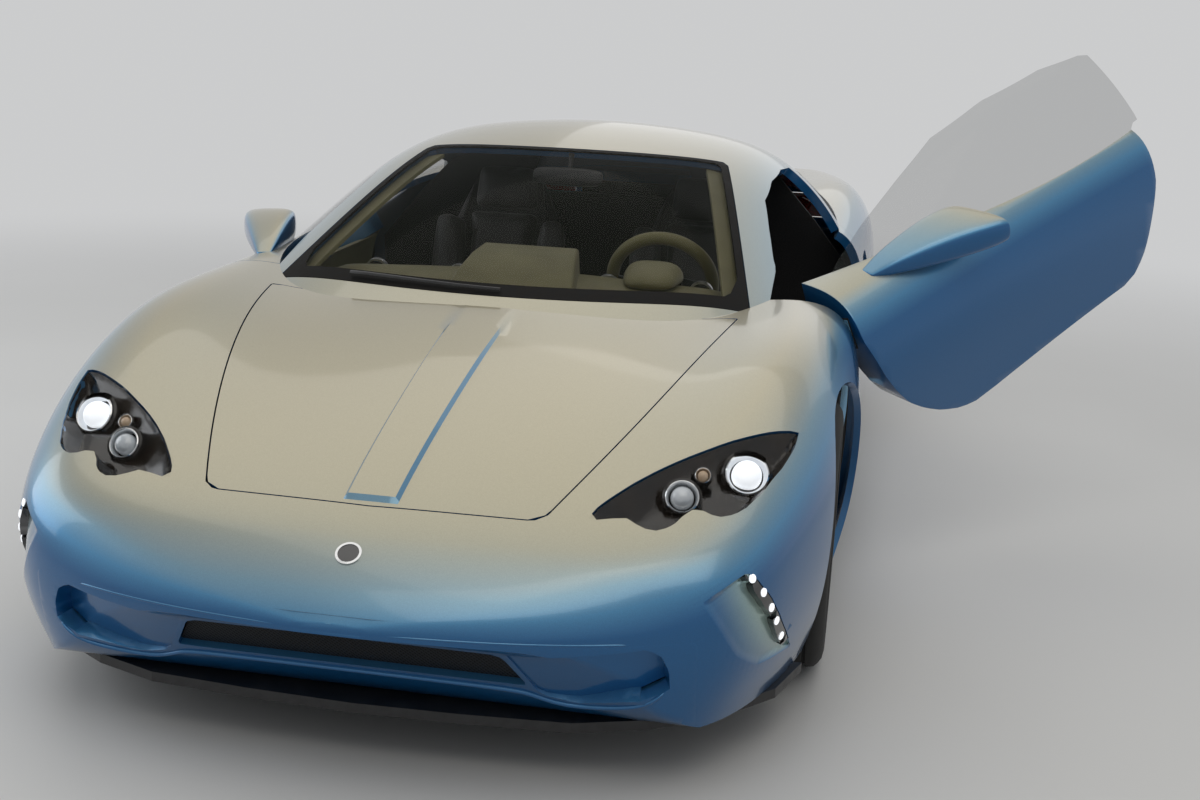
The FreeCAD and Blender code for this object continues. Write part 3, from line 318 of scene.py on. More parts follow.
def pearl_paint_with_painted_light():
    """Pale blue pearl under clear lacquer, with painted light: a painted warm silver highlight where it faces up,
    and painted shade of deeper blue where it turns aside or down or sits low.
    """
    material, nodes, links, shader, place = new_material("pearl_blue_paint_and_painted_light")
    # Painted light and shade: the colour follows how far the surface faces up, less where it faces aside, and
    # turns deeper blue low on the body.
    facing = add(nodes, links, "NewGeometry").outputs["Normal"]
    facing = add(nodes, links, "SeparateXYZ", {"Vector": facing}).outputs
    aside = add(nodes, links, "Math", {0: facing["X"]}, operation="ABSOLUTE").outputs[0]
    up = add(nodes, links, "Math", {0: aside, 1: -0.34, 2: facing["Z"]}, operation="MULTIPLY_ADD").outputs[0]
    height = add(nodes, links, "SeparateXYZ", {"Vector": place}).outputs["Z"]
    level = add(nodes, links, "MapRange", {"Value": height, "From Min": 0.22, "From Max": 0.52, "To Min": 0.25},
                interpolation_type="SMOOTHSTEP").outputs["Result"]
    painted_light_share = add(nodes, links, "Math", {0: up, 1: level}, operation="MULTIPLY").outputs[0]
    # The ramp runs from painted shade in deep blue to a painted highlight in warm silver.
    base = ramp(nodes, links, painted_light_share, (0.0, (0.005, 0.100, 0.27)), (0.30, (0.060, 0.230, 0.42)),
                (0.60, (0.16, 0.285, 0.37)), (0.86, (0.325, 0.32, 0.25)), (1.0, (0.395, 0.35, 0.228)))
    # Painted glow: where the "lit" attribute is set, on the scoop by the daytime lamps, the colour is mixed
    # towards pale green, the lamps' light painted onto the paint.
    glow = add(nodes, links, "Attribute", attribute_name="lit").outputs["Fac"]
    painted_lamp_glow = add(nodes, links, "Mix", {"Factor": glow, 6: base, 7: (0.58, 0.74, 0.56, 1)},
                  data_type="RGBA").outputs[2]
    flakes = add(nodes, links, "TexVoronoi", {"Vector": place, "Scale": 900.0}).outputs["Color"]
    shade = add(nodes, links, "SeparateXYZ", {"Vector": flakes}).outputs["X"]
    spark = add(nodes, links, "MapRange", {"Value": shade, "To Min": 0.94, "To Max": 1.08}).outputs["Result"]
    tint = add(nodes, links, "VectorMath", {0: painted_lamp_glow, 1: spark}, operation="MULTIPLY").outputs["Vector"]
    links.new(tint, shader.inputs["Base Color"])
    wave = add(nodes, links, "TexNoise", {"Vector": place, "Scale": 420.0, "Detail": 2.0}).outputs["Fac"]
    peel = add(nodes, links, "Bump", {"Height": wave, "Strength": 0.03, "Distance": 0.0006})
    links.new(peel.outputs["Normal"], shader.inputs["Normal"])
    for key, value in (("Metallic", 0.55), ("Roughness", 0.30), ("Coat Weight", 1.0), ("Coat Roughness", 0.06),
                       ("Coat IOR", 1.38)):
        shader.inputs[key].default_value = value
    return material


paint = pearl_paint_with_painted_light()
PANEL_GAP = 0.0032
lid_side = arc((362, -2008), (528, -1520), (645, -955), 24)
lid_rear = [p for p in reversed(arc((-645, -955), (0, -1034), (645, -955), 33)) if p[0] > -1]
LID = plan([(0, -2020)] + lid_side + lid_rear[1:])
SCREEN = arc((-668, -868), (0, -1008), (668, -868), 33) + arc((493, 30), (0, -60), (-493, 30), 25)
LAMP = [(452, -1992), (470, -1948), (492, -1915), (526, -1868), (566, -1822), (612, -1777), (662, -1736),
        (706, -1700), (752, -1668), (800, -1634), (848, -1604), (846, -1645), (836, -1690), (824, -1735),
        (808, -1778), (794, -1822), (776, -1860), (762, -1890), (744, -1912), (726, -1928), (706, -1934),
        (688, -1926), (668, -1922), (652, -1932), (640, -1952), (628, -1976), (612, -1992), (592, -2000),
        (570, -1996), (552, -1986), (540, -1972), (510, -1976), (480, -1984)]
STRIP = [(776, 470), (788, 471), (808, 447), (833, 406), (850, 359), (864, 304), (873, 256), (856, 266),
         (847, 307), (835, 361), (812, 409), (789, 449)]
FRONT, REAR, SPLIT = -0.742, 0.520, 0.575
DOOR = [(-742, 905), (-742, 700), (-715, 630), (-687, 560), (-650, 495), (-607, 440), (-548, 392), (-480, 350),
        (-412, 322), (-342, 305), (-250, 315), (300, 395), (350, 402), (395, 425), (430, 470), (450, 520),
        (500, 700), (520, 905)]
WINDOW = [(-712, 782), (-622, 826), (-500, 879), (-320, 946), (-149, 1006), (60, 1046), (300, 1064),
          (490, 1056), (512, 880), (512, 800)]
FOOT = 0.142
ARCHES = ((-1.280, 0.327, 0.376), (1.380, 0.345, 0.392))


def in_door(p):
    """How far a point lies inside the door's outline, whose rear edge is raked forwards towards the cabin."""
    rake = 0.062 * (1.1 - abs(p[:, 0])) / 0.355 / (REAR - FRONT)
    return inside(DOOR, 1, 2)(np.column_stack([p[:, 0], (p[:, 1] - rake * FRONT) / (1 - rake), p[:, 2]]))


def door_gap(p):
    """A field: positive outside the door's shut line."""
    return -in_door(p) - PANEL_GAP


def clear_of(arch):
    """A field: positive outside a wheel arch, given as (y, z, radius)."""
    y, z, radius = arch
    return lambda p: np.where(abs(p[:, 0]) > 0.5, np.hypot(p[:, 1] - y, p[:, 2] - z) - radius, 1)


def below(tree, x, y):
    """A skin's point and normal under a place in plan."""
    return tree.ray_cast(Vector((x, y, 3)), Vector((0, 0, -1)))[:2]


def height_over(tree, points):
    """How far each point lies above a skin, or a metre where the skin doesn't reach."""
    hits = [below(tree, x, y)[0] for x, y, _ in points]
    return np.array([1.0 if spot is None else point[2] - spot.z for point, spot in zip(points, hits)])


def cabin_above(points):
    """A field: positive where a point is over the cabin skin, or beside it."""
    return height_over(cabin_tree, points)


def body_above(points):
    """A field: positive where a point is over the body skin, or beside it."""
    return height_over(body_tree, points)


# (x, z) in mm of the cabin skin: belt, side glass, cant rail, roof edge, mid and centre.
CABIN = (
    (-1500, (820, 520), (740, 550), (640, 580), (480, 600), (240, 615), (0, 620)),
    (-1200, (840, 580), (760, 635), (665, 675), (505, 706), (250, 724), (0, 730)),
    (-900, (860, 650), (790, 720), (684, 776), (515, 822), (260, 845), (0, 852)),
    (-600, (875, 700), (800, 790), (680, 872), (515, 934), (260, 962), (0, 971)),
    (-300, (885, 740), (800, 860), (665, 965), (505, 1035), (260, 1066), (0, 1076)),
    (0, (890, 770), (800, 910), (655, 1050), (495, 1112), (255, 1138), (0, 1146)),
    (330, (890, 790), (808, 940), (655, 1088), (490, 1152), (250, 1182), (0, 1192)),
    (650, (890, 800), (805, 940), (655, 1078), (490, 1146), (250, 1176), (0, 1188)),
    (1000, (880, 800), (790, 910), (640, 1020), (480, 1085), (250, 1120), (0, 1134)),
    (1350, (850, 790), (760, 870), (620, 955), (470, 1010), (250, 1040), (0, 1052)),
    (1700, (810, 770), (720, 830), (600, 890), (460, 925), (250, 945), (0, 952)),
    (2000, (780, 740), (700, 780), (590, 820), (450, 845), (250, 858), (0, 862)),
)
cabin_skin = skin_mesh("cabin_skin", CABIN, 10, 10)


def tree_of(mesh):
    """A skin's faces, ready for casting rays."""
    bm = bmesh.new()
    bm.from_mesh(mesh)
    tree = BVHTree.FromBMesh(bm)
    bm.free()
    return tree


body_tree = tree_of(body_skin)
cabin_tree = tree_of(cabin_skin)


def cut_from(skin, *fields):
    """A copy of a skin trimmed by each field in turn."""
    bm = bmesh.new()
    bm.from_mesh(skin)
    for field in fields:
        trim(bm, field)
    return bm


def on_both(field):
    """The same field for the car's two sides."""
    return lambda p: field(np.column_stack([abs(p[:, 0]), p[:, 1], p[:, 2]]))


def chin(p):
    """A field: positive outside the nose moulding, which ends at the crease."""
    return np.maximum(np.maximum(abs(p[:, 0]) - 0.705, p[:, 1] + 2.0), p[:, 2] - 0.352)


def above_foot(p):
    """A field: positive above the body's lower edge."""
    return p[:, 2] - FOOT


wings = cut_from(body_skin, lambda p: FRONT - 0.001 - p[:, 1], above_foot, chin, cabin_above,
                 outside(LID, 0, 1, PANEL_GAP), on_both(outside(LAMP, 0, 1, 0.002)),
                 on_both(lambda p: np.where(p[:, 1] < -1.7, outside(STRIP, 0, 2, 0.001)(p), 1)),
                 clear_of(ARCHES[0]), lambda p: np.where(abs(p[:, 0]) > 0.7, door_gap(p), 1))
SCOOP = [(708, 429), (729, 443), (753, 456), (779, 469), (812, 432), (846, 372), (866, 300), (874, 243),
         (845, 252), (814, 260), (777, 305), (743, 371)]
SCOOP_BACK = -1.75
fan = on_both(inside(SCOOP, 0, 2))
scooped = [face for face in wings.faces if face.calc_center_median().y < SCOOP_BACK
           and fan(np.array([face.calc_center_median()]))[0] > -0.02]
bmesh.ops.subdivide_edges(wings, edges=list({edge for face in scooped for edge in face.edges}), cuts=3,
                          use_grid_fill=True)
trim(wings, lambda p: np.where(p[:, 1] < SCOOP_BACK, fan(p), -1), keep=True)
# Painted glow: the scoop by each daytime lamp strip gets a "lit" share, which the paint turns into a painted glow
# of the lamp's light.
painted_glow_layer = wings.verts.layers.float.new("lit")
for vert, inner in zip(list(wings.verts), fan(np.array([vert.co for vert in wings.verts]))):
    if vert.co.y < SCOOP_BACK and inner > 0:
        across = max(0.0, min(1.0, (abs(vert.co.x) - 0.42 * (0.44 - vert.co.z) - 0.700) / 0.085))
        vert.co.y += 0.036 * min(1.0, inner / 0.010) * across
        vert[painted_glow_layer] = 0.65 * min(1.0, inner / 0.006) * across ** 2
done(sheet("front_wings", wings, 0.018), paint, "car_body", "front_clam", slot="paint")

# Front lid: a flat-sided panel that follows the nose, with a raised spine down its middle that widens
# towards the screen. It turns up about its rear edge.
UNDER_NOSE = 0.4
lid = cut_from(body_skin, inside([(x * 0.999, y) for x, y in LID], 0, 1), cabin_above,
               lambda p: p[:, 2] - UNDER_NOSE)
SPINE_HALF = np.array([(-2.004, 0.055), (-1.02, 0.0725)])
SPINE_SLOPE = 0.004
SPINE_HEIGHT = 0.009
SPINE_FADE = 0.36


def spine_edge(p):
    """How far a point lies inside the spine's side lines."""
    return np.interp(p[:, 1], SPINE_HALF[:, 0], SPINE_HALF[:, 1]) - abs(p[:, 0])


def share_of(value, span):
    """A value as a share of a span, held between 0 and 1."""
    return max(0.0, min(1.0, value / span))


for margin in (SPINE_SLOPE, -SPINE_SLOPE):
    trim(lid, lambda p: spine_edge(p) + margin, keep=True)
    trim(lid, lambda p: p[:, 1] - SPINE_HALF[0, 0] + margin, keep=True)
for vert in lid.verts:
    rise = float(spine_edge(np.array([vert.co]))[0])
    front = share_of(vert.co.y + 2.008, 2 * SPINE_SLOPE)
    rear = share_of(-1.035 - vert.co.y, SPINE_FADE)
    vert.co.z += SPINE_HEIGHT * share_of(rise + SPINE_SLOPE, 2 * SPINE_SLOPE) * front * rear
done(sheet("front_lid", lid, 0.018, 28), paint, "bonnet", "bonnet", slot="paint")

# Cabin shell: the moulded roof and pillars in one piece, and the sills below the doors, each a painted wall
# lined with grey cloth and bonded to the tub.
roof = cut_from(cabin_skin, lambda p: SPLIT - 0.001 - p[:, 1], body_above, outside(SCREEN, 0, 1, 0.003),
                on_both(lambda p: np.where(p[:, 0] > 0.5, outside(WINDOW, 1, 2, PANEL_GAP)(p), 1)),
                on_both(lambda p: np.where(p[:, 0] > 0.7, door_gap(p), 1)))
sides = cut_from(body_skin, lambda p: p[:, 1] - FRONT, lambda p: SPLIT - 0.001 - p[:, 1], cabin_above, above_foot,
                 on_both(lambda p: np.where(p[:, 0] > 0.7, door_gap(p), 1)))
headlining = finish("grey_headlining", (0.040, 0.038, 0.035), (0.060, 0.057, 0.053), 300, (0.9, 0.97), bump=0.3)


def lined(piece, wall, lining):
    """Give a painted shell its wall, with its inner face in another finish."""
    piece.data.materials.append(paint)
    piece.data.materials.append(lining)
    modify(piece, "SOLIDIFY", thickness=wall, offset=-1, material_offset=1)


for piece_name, skin, node in (("roof_and_pillars", roof, "cabin_frame"), ("sills", sides, "side_sills")):
    piece = link(piece_name, skin)
    lined(piece, 0.030, headlining)
    smooth(piece)
    done(piece, None, "car_body", node, slot="paint")

# Rear body: the rear wings and the buttresses, thin painted mouldings bonded behind the cabin, with openings
# for the wheels, the side intakes, the small side panes and the engine lid.
ENGINE_LID = plan([(0, 806), (530, 806), (470, 1680), (410, 1740), (0, 1740)])
TAIL = 2.225
QUARTER = [(605, 1040), (605, 872), (1045, 872), (1095, 905), (905, 985)]
INTAKE = [(610, 740), (750, 760), (790, 600), (705, 420), (610, 400)]
TAIL_PIPE = (0.170, 0.330)


def past_diffuser(p):
    """A field: positive outside the opening for the diffuser."""
    return np.maximum(abs(p[:, 0]) - 0.562, p[:, 2] - 0.282)


rear_cuts = (lambda p: p[:, 1] - SPLIT, outside(ENGINE_LID, 0, 1, PANEL_GAP), lambda p: TAIL - p[:, 1])
haunches = cut_from(body_skin, *rear_cuts, above_foot, cabin_above, clear_of(ARCHES[1]),
                    lambda p: np.where(p[:, 1] > 1.99, past_diffuser(p), 1),
                    on_both(lambda p: np.where(p[:, 0] > 0.85, outside(INTAKE, 1, 2)(p), 1)))
buttress = cut_from(cabin_skin, *rear_cuts, body_above,
                    on_both(lambda p: np.where(p[:, 0] > 0.5, outside(QUARTER, 1, 2, 0.002)(p), 1)))
for piece_name, skin, nodes in (("rear_body", haunches, ("rear_clam",)), ("buttresses", buttress, ())):
    done(sheet(piece_name, skin, 0.022), paint, "car_body", *nodes, slot="paint")

# Engine lid: a painted cover that turns up about the roof's end, with eight louvre blades over a dark
# moulded backing.
engine_cover = cut_from(cabin_skin, inside(ENGINE_LID, 0, 1), body_above)
done(sheet("engine_cover", engine_cover, 0.020), paint, "engine_lid", "engine_lid", slot="paint")
black_plastic = finish("black_moulding", (0.012, 0.012, 0.013), (0.022, 0.022, 0.023), 40, (0.35, 0.5))
LOUVRES = plan([(0, 930), (330, 930), (285, 1440), (0, 1440)])
done(sheet("louvre_backing", cut_from(cabin_skin, inside(LOUVRES, 0, 1)), 0.0025, offset=1), black_plastic,
     "engine_lid")


def bridge(bm, sections, closed=False):
    """Faces between equal rings of corners, in order, and from the last to the first if closed."""
    rings = [[bm.verts.new(corner) for corner in section] for section in sections]
    for before, after in zip(rings, rings[1:] + (rings[:1] if closed else [])):
        for k in range(len(before)):
            bm.faces.new((before[k - 1], before[k], after[k], after[k - 1]))
    return rings


def capped(bm, sections):
    """The same, with a face over each end."""
    rings = bridge(bm, sections)
    bm.faces.new(rings[0])
    bm.faces.new(rings[-1])


def rounded(piece, width, segments=3, angle=35):
    """Round a piece's sharp edges, then shade it."""
    bevel_edges(piece, width, segments, angle)
    smooth(piece)
    return piece


blades = bmesh.new()
for k in range(8):
    y = 0.965 + 0.062 * k
    half = 0.312 - 0.088 * (y - 0.930)
    rows = []
    for x in np.linspace(-half, half, 17):
        row = []
        for along, lift in ((-0.024, 0.002), (0.022, 0.013), (0.024, 0.011), (-0.020, 0.000)):
            spot, normal = below(cabin_tree, x, y + along)
            row.append(spot + normal * lift)
        rows.append(row)
    capped(blades, rows)
bmesh.ops.recalc_face_normals(blades, faces=blades.faces)
done(rounded(link("louvre_blades", blades), 0.0008, 2, 40), paint, "engine_lid")

# Tail panel: a flat painted moulding that closes the rear body, with openings for the lamps, the mesh, the
# pipes and the diffuser.
edge = cut_from(body_skin, lambda p: TAIL - p[:, 1])
section = {(round(vert.co.x * 1000, 1), round(vert.co.z * 1000, 1)) for vert in edge.verts
           if vert.co.y > TAIL - 1e-4}
edge.free()
section = sorted(section, key=lambda p: math.atan2(p[1] - 500, p[0]))
TAIL_LAMP = [(430, 800), (760, 800), (790, 740), (760, 690), (430, 690)]
TAIL_MESH = [(-400, 690), (400, 690), (400, 800), (-400, 800)]
panel = bmesh.new()
bmesh.ops.create_grid(panel, x_segments=238, y_segments=110, size=0.5)
panel.transform(Matrix.Translation((0, TAIL - 0.0001, 0.53)) @ Matrix.Rotation(math.radians(90), 4, "X")
                @ Matrix.Diagonal((1.90, 0.88, 1, 1)))
for field in (inside(section, 0, 2), outside(TAIL_MESH, 0, 2), on_both(outside(TAIL_LAMP, 0, 2)),
              on_both(lambda p: np.hypot(p[:, 0] - TAIL_PIPE[0], p[:, 2] - TAIL_PIPE[1]) - 0.053),
              past_diffuser):
    trim(panel, field)
for face in panel.faces:
    face.normal_update()
    if face.normal.y < 0:
        face.normal_flip()
done(sheet("tail_panel", panel, 0.020, bevel=(0.002, 2, 50)), paint, "car_body", slot="paint")

# Doors: a painted skin wrapped over a deep shell, with a dark trim panel inside. Each turns out and up on
# a leaning hinge at its front edge. The left one stands open.
HINGE = Vector((0.916, -0.770, 0.776))
OPEN = (Matrix.Translation(HINGE) @ Matrix.Rotation(math.radians(50.5), 4, Vector((0.428, -0.031, -0.903)))
        @ Matrix.Translation(-HINGE))
MIRROR = Matrix.Diagonal((-1, 1, 1, 1))


def leather(name, dark, light):
    """Grained hide: fine cells, soft colour patches and a satin sheen."""
    material, nodes, links, shader, place = new_material(name)
    cells = add(nodes, links, "TexVoronoi", {"Vector": place, "Scale": 700.0}, feature="DISTANCE_TO_EDGE")
    patches = add(nodes, links, "TexNoise", {"Vector": place, "Scale": 9.0, "Detail": 5.0}).outputs["Fac"]
    links.new(ramp(nodes, links, patches, (0.3, dark), (0.7, light)), shader.inputs["Base Color"])
    raised = add(nodes, links, "Bump", {"Height": cells.outputs["Distance"], "Strength": 0.05, "Distance": 0.0002})
    links.new(raised.outputs["Normal"], shader.inputs["Normal"])
    shader.inputs["Roughness"].default_value = 0.52
    shader.inputs["Sheen Weight"].default_value = 0.12
    return material


def tinted_glass(name, colour, alpha, gloss=1.0):
    """Toned safety glass, a touch deeper in soft bands."""
    material, nodes, links, shader, place = new_material(name)
    bands = add(nodes, links, "TexNoise", {"Vector": place, "Scale": 3.0}).outputs["Fac"]
    deeper = tuple(c * 0.7 for c in colour)
    links.new(ramp(nodes, links, bands, (0.3, deeper), (0.7, colour)), shader.inputs["Base Color"])
    shader.inputs["Roughness"].default_value = 0.02
    shader.inputs["Alpha"].default_value = alpha
    shader.inputs["Coat Weight"].default_value = gloss * gloss
    shader.inputs["Coat Roughness"].default_value = 0.01
    shader.inputs["IOR"].default_value = 1.0 + 0.5 * gloss
    return material


dark_leather = leather("charcoal_leather", (0.018, 0.017, 0.016), (0.034, 0.032, 0.030))
tan_leather = leather("olive_tan_leather", (0.145, 0.130, 0.047), (0.195, 0.175, 0.070))
black_gloss = finish("black_gloss", (0.008, 0.008, 0.009), (0.014, 0.014, 0.015), 12, (0.08, 0.14),
                     Coat_Weight=1.0)
side_glass = tinted_glass("side_glass", (0.020, 0.026, 0.024), 0.16, 0.45)
steel = finish("brushed_steel", (0.42, 0.43, 0.44), (0.55, 0.56, 0.57), 60, (0.25, 0.4), metallic=1.0)


def on_door(piece, side, *nodes, material=None, slot=None):
    """Put a finished left-hand piece on its door: the left one turned open, the right one mirrored."""
    piece.data.transform(OPEN if side == "left" else MIRROR)
    if side == "right":
        piece.data.flip_normals()
    return done(piece, material, "door_" + side, *nodes, slot=slot)


def left_only(p):
    """A field: positive on the car's left."""
    return p[:, 0]


for side in ("left", "right"):
    skin = link("door_skin_" + side, cut_from(body_skin, left_only, in_door, cabin_above))
    lined(skin, 0.105, dark_leather)
    bevel_edges(skin, 0.002)
    smooth(skin)
    on_door(skin, side, "door_" + side, slot="paint")
    pane = cut_from(cabin_skin, left_only, inside(WINDOW, 1, 2),
                    lambda p: np.maximum(0.466 - p[:, 1], body_above(p) - 0.009))
    on_door(sheet("door_glass_" + side, pane, 0.005), side, "door_window_" + side, material=side_glass,
            slot="glass")

# Windscreen: one bonded pane, toned, with a black printed border that hides its bed of glue, between hide
# trims along the pillars, and a small fixed pane behind each door.
screen_glass = tinted_glass("screen_glass", (0.010, 0.013, 0.008), 0.20, 0.20)
screen_print = finish("screen_border_print", (0.004, 0.004, 0.004), (0.010, 0.009, 0.008), 30, (0.45, 0.6),
                      Specular_IOR_Level=0.05)


def past_border(p):
    """How far a point of the screen lies inside the printed border, which is deeper along the foot."""
    return inside(SCREEN, 0, 1)(p) - 0.022 - 0.034 * np.clip((-0.72 - p[:, 1]) / 0.12, 0, 1)


done(sheet("windscreen_pane", cut_from(cabin_skin, past_border, body_above), 0.005), screen_glass, "car_body",
     "windscreen", slot="glass")
border = cut_from(cabin_skin, inside(SCREEN, 0, 1), lambda p: -past_border(p), body_above)
done(sheet("windscreen_border", border, 0.006), screen_print, "car_body", slot="black_gloss")
pillars = cut_from(cabin_skin, lambda p: 0.478 - 0.195 * (p[:, 1] - 0.03) - abs(p[:, 0]),
                   lambda p: abs(p[:, 0]) - 0.425 + 0.195 * (p[:, 1] - 0.03),
                   lambda p: -0.02 - p[:, 1], lambda p: p[:, 1] + 0.86)
for vert in pillars.verts:
    vert.co.z -= 0.022
done(sheet("pillar_trim", pillars, 0.012, bevel=(0.003, 2, 50)), tan_leather, "car_body")
SIDES = (("left", 1), ("right", -1))
for side, way in SIDES:
    pane = cut_from(cabin_skin, lambda p: p[:, 0] * way, inside(QUARTER, 1, 2))
    done(sheet("quarter_glass_" + side, pane, 0.005), side_glass, "car_body",
         *(["quarter_windows"] if way > 0 else []), slot="glass")

# Door ends and trim: a painted hinge plate with four bolts on a rubber seal in each door's front end, and
# a padded card with an armrest and a steel pull on its inner side.
plate_paint = finish("hinge_plate_blue", (0.10, 0.26, 0.42), (0.13, 0.31, 0.47), 20, (0.3, 0.4), metallic=0.2)
rubber_seal = finish("door_seal_rubber", (0.010, 0.010, 0.010), (0.020, 0.020, 0.020), 80, (0.7, 0.85), bump=0.2)
DOOR_END = Matrix.Translation((0.886, -0.742, 0.701)) @ Matrix.Rotation(math.radians(-18), 4, "Y")


def block(name, place, size, bevel, segments):
    """A block with round edges, with its place and size in its mesh."""
    bpy.ops.mesh.primitive_cube_add(size=1)
    piece = bpy.context.object
    piece.name = name
    piece.data.transform(place @ Matrix.Diagonal((*size, 1)))
    modify(piece, "BEVEL", width=bevel, segments=segments)
    smooth(piece)
    return piece


for side in ("left", "right"):
    for name, y, size, bevel, material in (
            ("door_end_seal_", 0.0, (0.056, 0.002, 0.092), 0.0009, rubber_seal),
            ("hinge_plate_", -0.0015, (0.044, 0.004, 0.080), 0.0015, plate_paint)):
        plate = block(name + side, DOOR_END @ Matrix.Translation((0, y, 0)), size, bevel, 2)
        on_door(plate, side, material=material)
    for k, (x, z) in enumerate(((-0.012, -0.029), (0.012, -0.029), (-0.012, 0.029), (0.012, 0.029))):
        bpy.ops.mesh.primitive_cylinder_add(vertices=6, radius=0.0065, depth=0.004)
        bolt = bpy.context.object
        bolt.name = "hinge_bolt_%s_%d" % (side, k)
        bolt.data.transform(DOOR_END @ Matrix.Translation((x, -0.0050, z)) @ Matrix.Rotation(math.pi / 2, 4, "X"))
        modify(bolt, "BEVEL", width=0.0008, segments=2)
        on_door(bolt, side, material=steel)
    card = cut_from(body_skin, left_only, lambda p: in_door(p) - 0.055, lambda p: p[:, 2] - 0.50,
                    lambda p: 0.74 - p[:, 2])
    for vert in card.verts:
        vert.co.x -= 0.112
    on_door(sheet("door_card_" + side, card, 0.012, bevel=(0.004, 3, 50)), side, material=tan_leather)
    rest = block("door_armrest_" + side, Matrix.Translation((0.826, -0.10, 0.600)), (0.050, 0.440, 0.040),
                 0.014, 4)
    on_door(rest, side, material=dark_leather)
    pull = block("door_pull_" + side, Matrix.Translation((0.838, -0.420, 0.690)), (0.014, 0.090, 0.018),
                 0.005, 3)
    on_door(pull, side, material=steel)

# Door mirrors: a painted wedge that grows back and out from a point on the door's shoulder to a square rear
# face, which holds the glass.
MIRROR_RINGS = (
    # inner y, outer y, inner x, outer x, lower z, upper z
    (-0.598, -0.598, 0.802, 0.846, 0.792, 0.811), (-0.560, -0.560, 0.802, 0.872, 0.789, 0.832),
    (-0.520, -0.520, 0.804, 0.897, 0.787, 0.852), (-0.420, -0.415, 0.815, 0.960, 0.787, 0.889),
    (-0.340, -0.325, 0.827, 1.008, 0.792, 0.905), (-0.300, -0.262, 0.838, 1.030, 0.798, 0.906),
    (-0.290, -0.244, 0.843, 1.032, 0.803, 0.902))
ROUND = ((1.0, 0.30), (0.93, 0.12), (0.75, 0.02), (0.20, -0.02), (0.03, 0.10), (0.0, 0.35), (0.0, 0.80),
         (0.06, 0.97), (0.25, 1.0), (0.70, 0.93), (0.92, 0.84), (1.0, 0.70))
mirror_glass = finish("mirror_glass", (0.70, 0.72, 0.74), (0.78, 0.80, 0.82), 6, (0.02, 0.03), metallic=1.0)


def softened(piece):
    """Subdivide a coarse cage into a soft form."""
    modify(piece, "SUBSURF", levels=2, render_levels=2)
    smooth(piece, 60)
    return piece


def mirror_ring(y0, y1, x0, x1, z0, z1, wide=1.0, high=1.0, back=0.0):
    """One ring of the mirror's head, or a smaller copy of it set back."""
    return [(x0 + a * (x1 - x0), y0 + back + a * (y1 - y0), z0 + b * (z1 - z0))
            for a, b in ((0.5 + wide * (p - 0.5), 0.5 + high * (q - 0.5)) for p, q in ROUND)]


for side in ("left", "right"):
    bm = bmesh.new()
    loops = bridge(bm, [mirror_ring(*row) for row in MIRROR_RINGS])
    for loop in (loops[0], loops[-1]):
        bmesh.ops.inset_region(bm, faces=[bm.faces.new(loop)], thickness=0.004)
    bmesh.ops.recalc_face_normals(bm, faces=bm.faces)
    on_door(softened(link("mirror_head_" + side, bm)), side, "mirror_" + side, material=paint, slot="paint")
    bm = bmesh.new()
    bm.faces.new([bm.verts.new(corner) for corner in mirror_ring(*MIRROR_RINGS[-1], 0.86, 0.84, 0.002)])
    bmesh.ops.recalc_face_normals(bm, faces=bm.faces)
    glass = link("mirror_glass_" + side, bm)
    modify(glass, "SOLIDIFY", thickness=0.004, offset=0)
    modify(glass, "BEVEL", width=0.0012, segments=2)
    on_door(glass, side, material=mirror_glass)

# Nose moulding: the panel under the crease, pale blue like the body and painted a deeper blue as painted
# shade where it faces down, thick enough to hold the mesh mouth and a wedge-shaped pocket at each end.
MOUTH = [(-326, 316), (326, 316), (374, 234), (-374, 234)]
POCKET = [(340, 319), (560, 338), (612, 344), (640, 326), (654, 292), (656, 250), (600, 226), (470, 196),
          (398, 212)]


def nose_cut(*fields):
    """The nose's skin below its crease, trimmed."""
    return cut_from(body_skin, lambda p: -1.95 - p[:, 1], lambda p: -chin(p), *fields)


fascia = nose_cut(above_foot, outside(MOUTH, 0, 2), on_both(outside(POCKET, 0, 2)))
done(sheet("nose_moulding", fascia, 0.040, 40, bevel=(0.004, 3, 45)), paint, "car_body", "front_fascia",
     slot="paint")
mouth = nose_cut(inside(MOUTH, 0, 2))
pockets = nose_cut(on_both(inside(POCKET, 0, 2)))
for vert in mouth.verts:
    vert.co.y += 0.016
    vert.co.z += 0.004
for vert in pockets.verts:
    sunk = 0.003 + 0.036 * share_of(abs(vert.co.x) - 0.36, 0.27) ** 1.3
    vert.co.y += sunk
    vert.co.z += sunk * 0.5
mouth = link("mouth_mesh", mouth)
modify(mouth, "SOLIDIFY", thickness=0.004, offset=-1)
done(mouth, None, "car_body", "front_grille", slot="black_trim")
done(sheet("pocket_floors", pockets, 0.004, 50), paint, "car_body")

# Nose edges: the crease over the mouth and the lip under it, drawn crisp as slim painted rolls that sit half
# sunk in the nose's skin.
LIP = ((0.000, 218), (0.330, 218), (0.375, 212), (0.410, 194), (0.460, 183), (0.560, 196), (0.615, 216),
       (0.648, 246))
CREASE = ((0.0, 355), (0.150, 355), (0.300, 355), (0.400, 355), (0.500, 355), (0.580, 355))


def loft(name, sections):
    """A skin over equal rings of corners, capped at both ends."""
    bm = bmesh.new()
    capped(bm, sections)
    bmesh.ops.recalc_face_normals(bm, faces=bm.faces)
    return link(name, bm)


def at_front(x, z):
    """The body skin's point and normal at a place seen from the front."""
    return body_tree.ray_cast(Vector((x, -3, z)), Vector((0, 1, 0)))[:2]


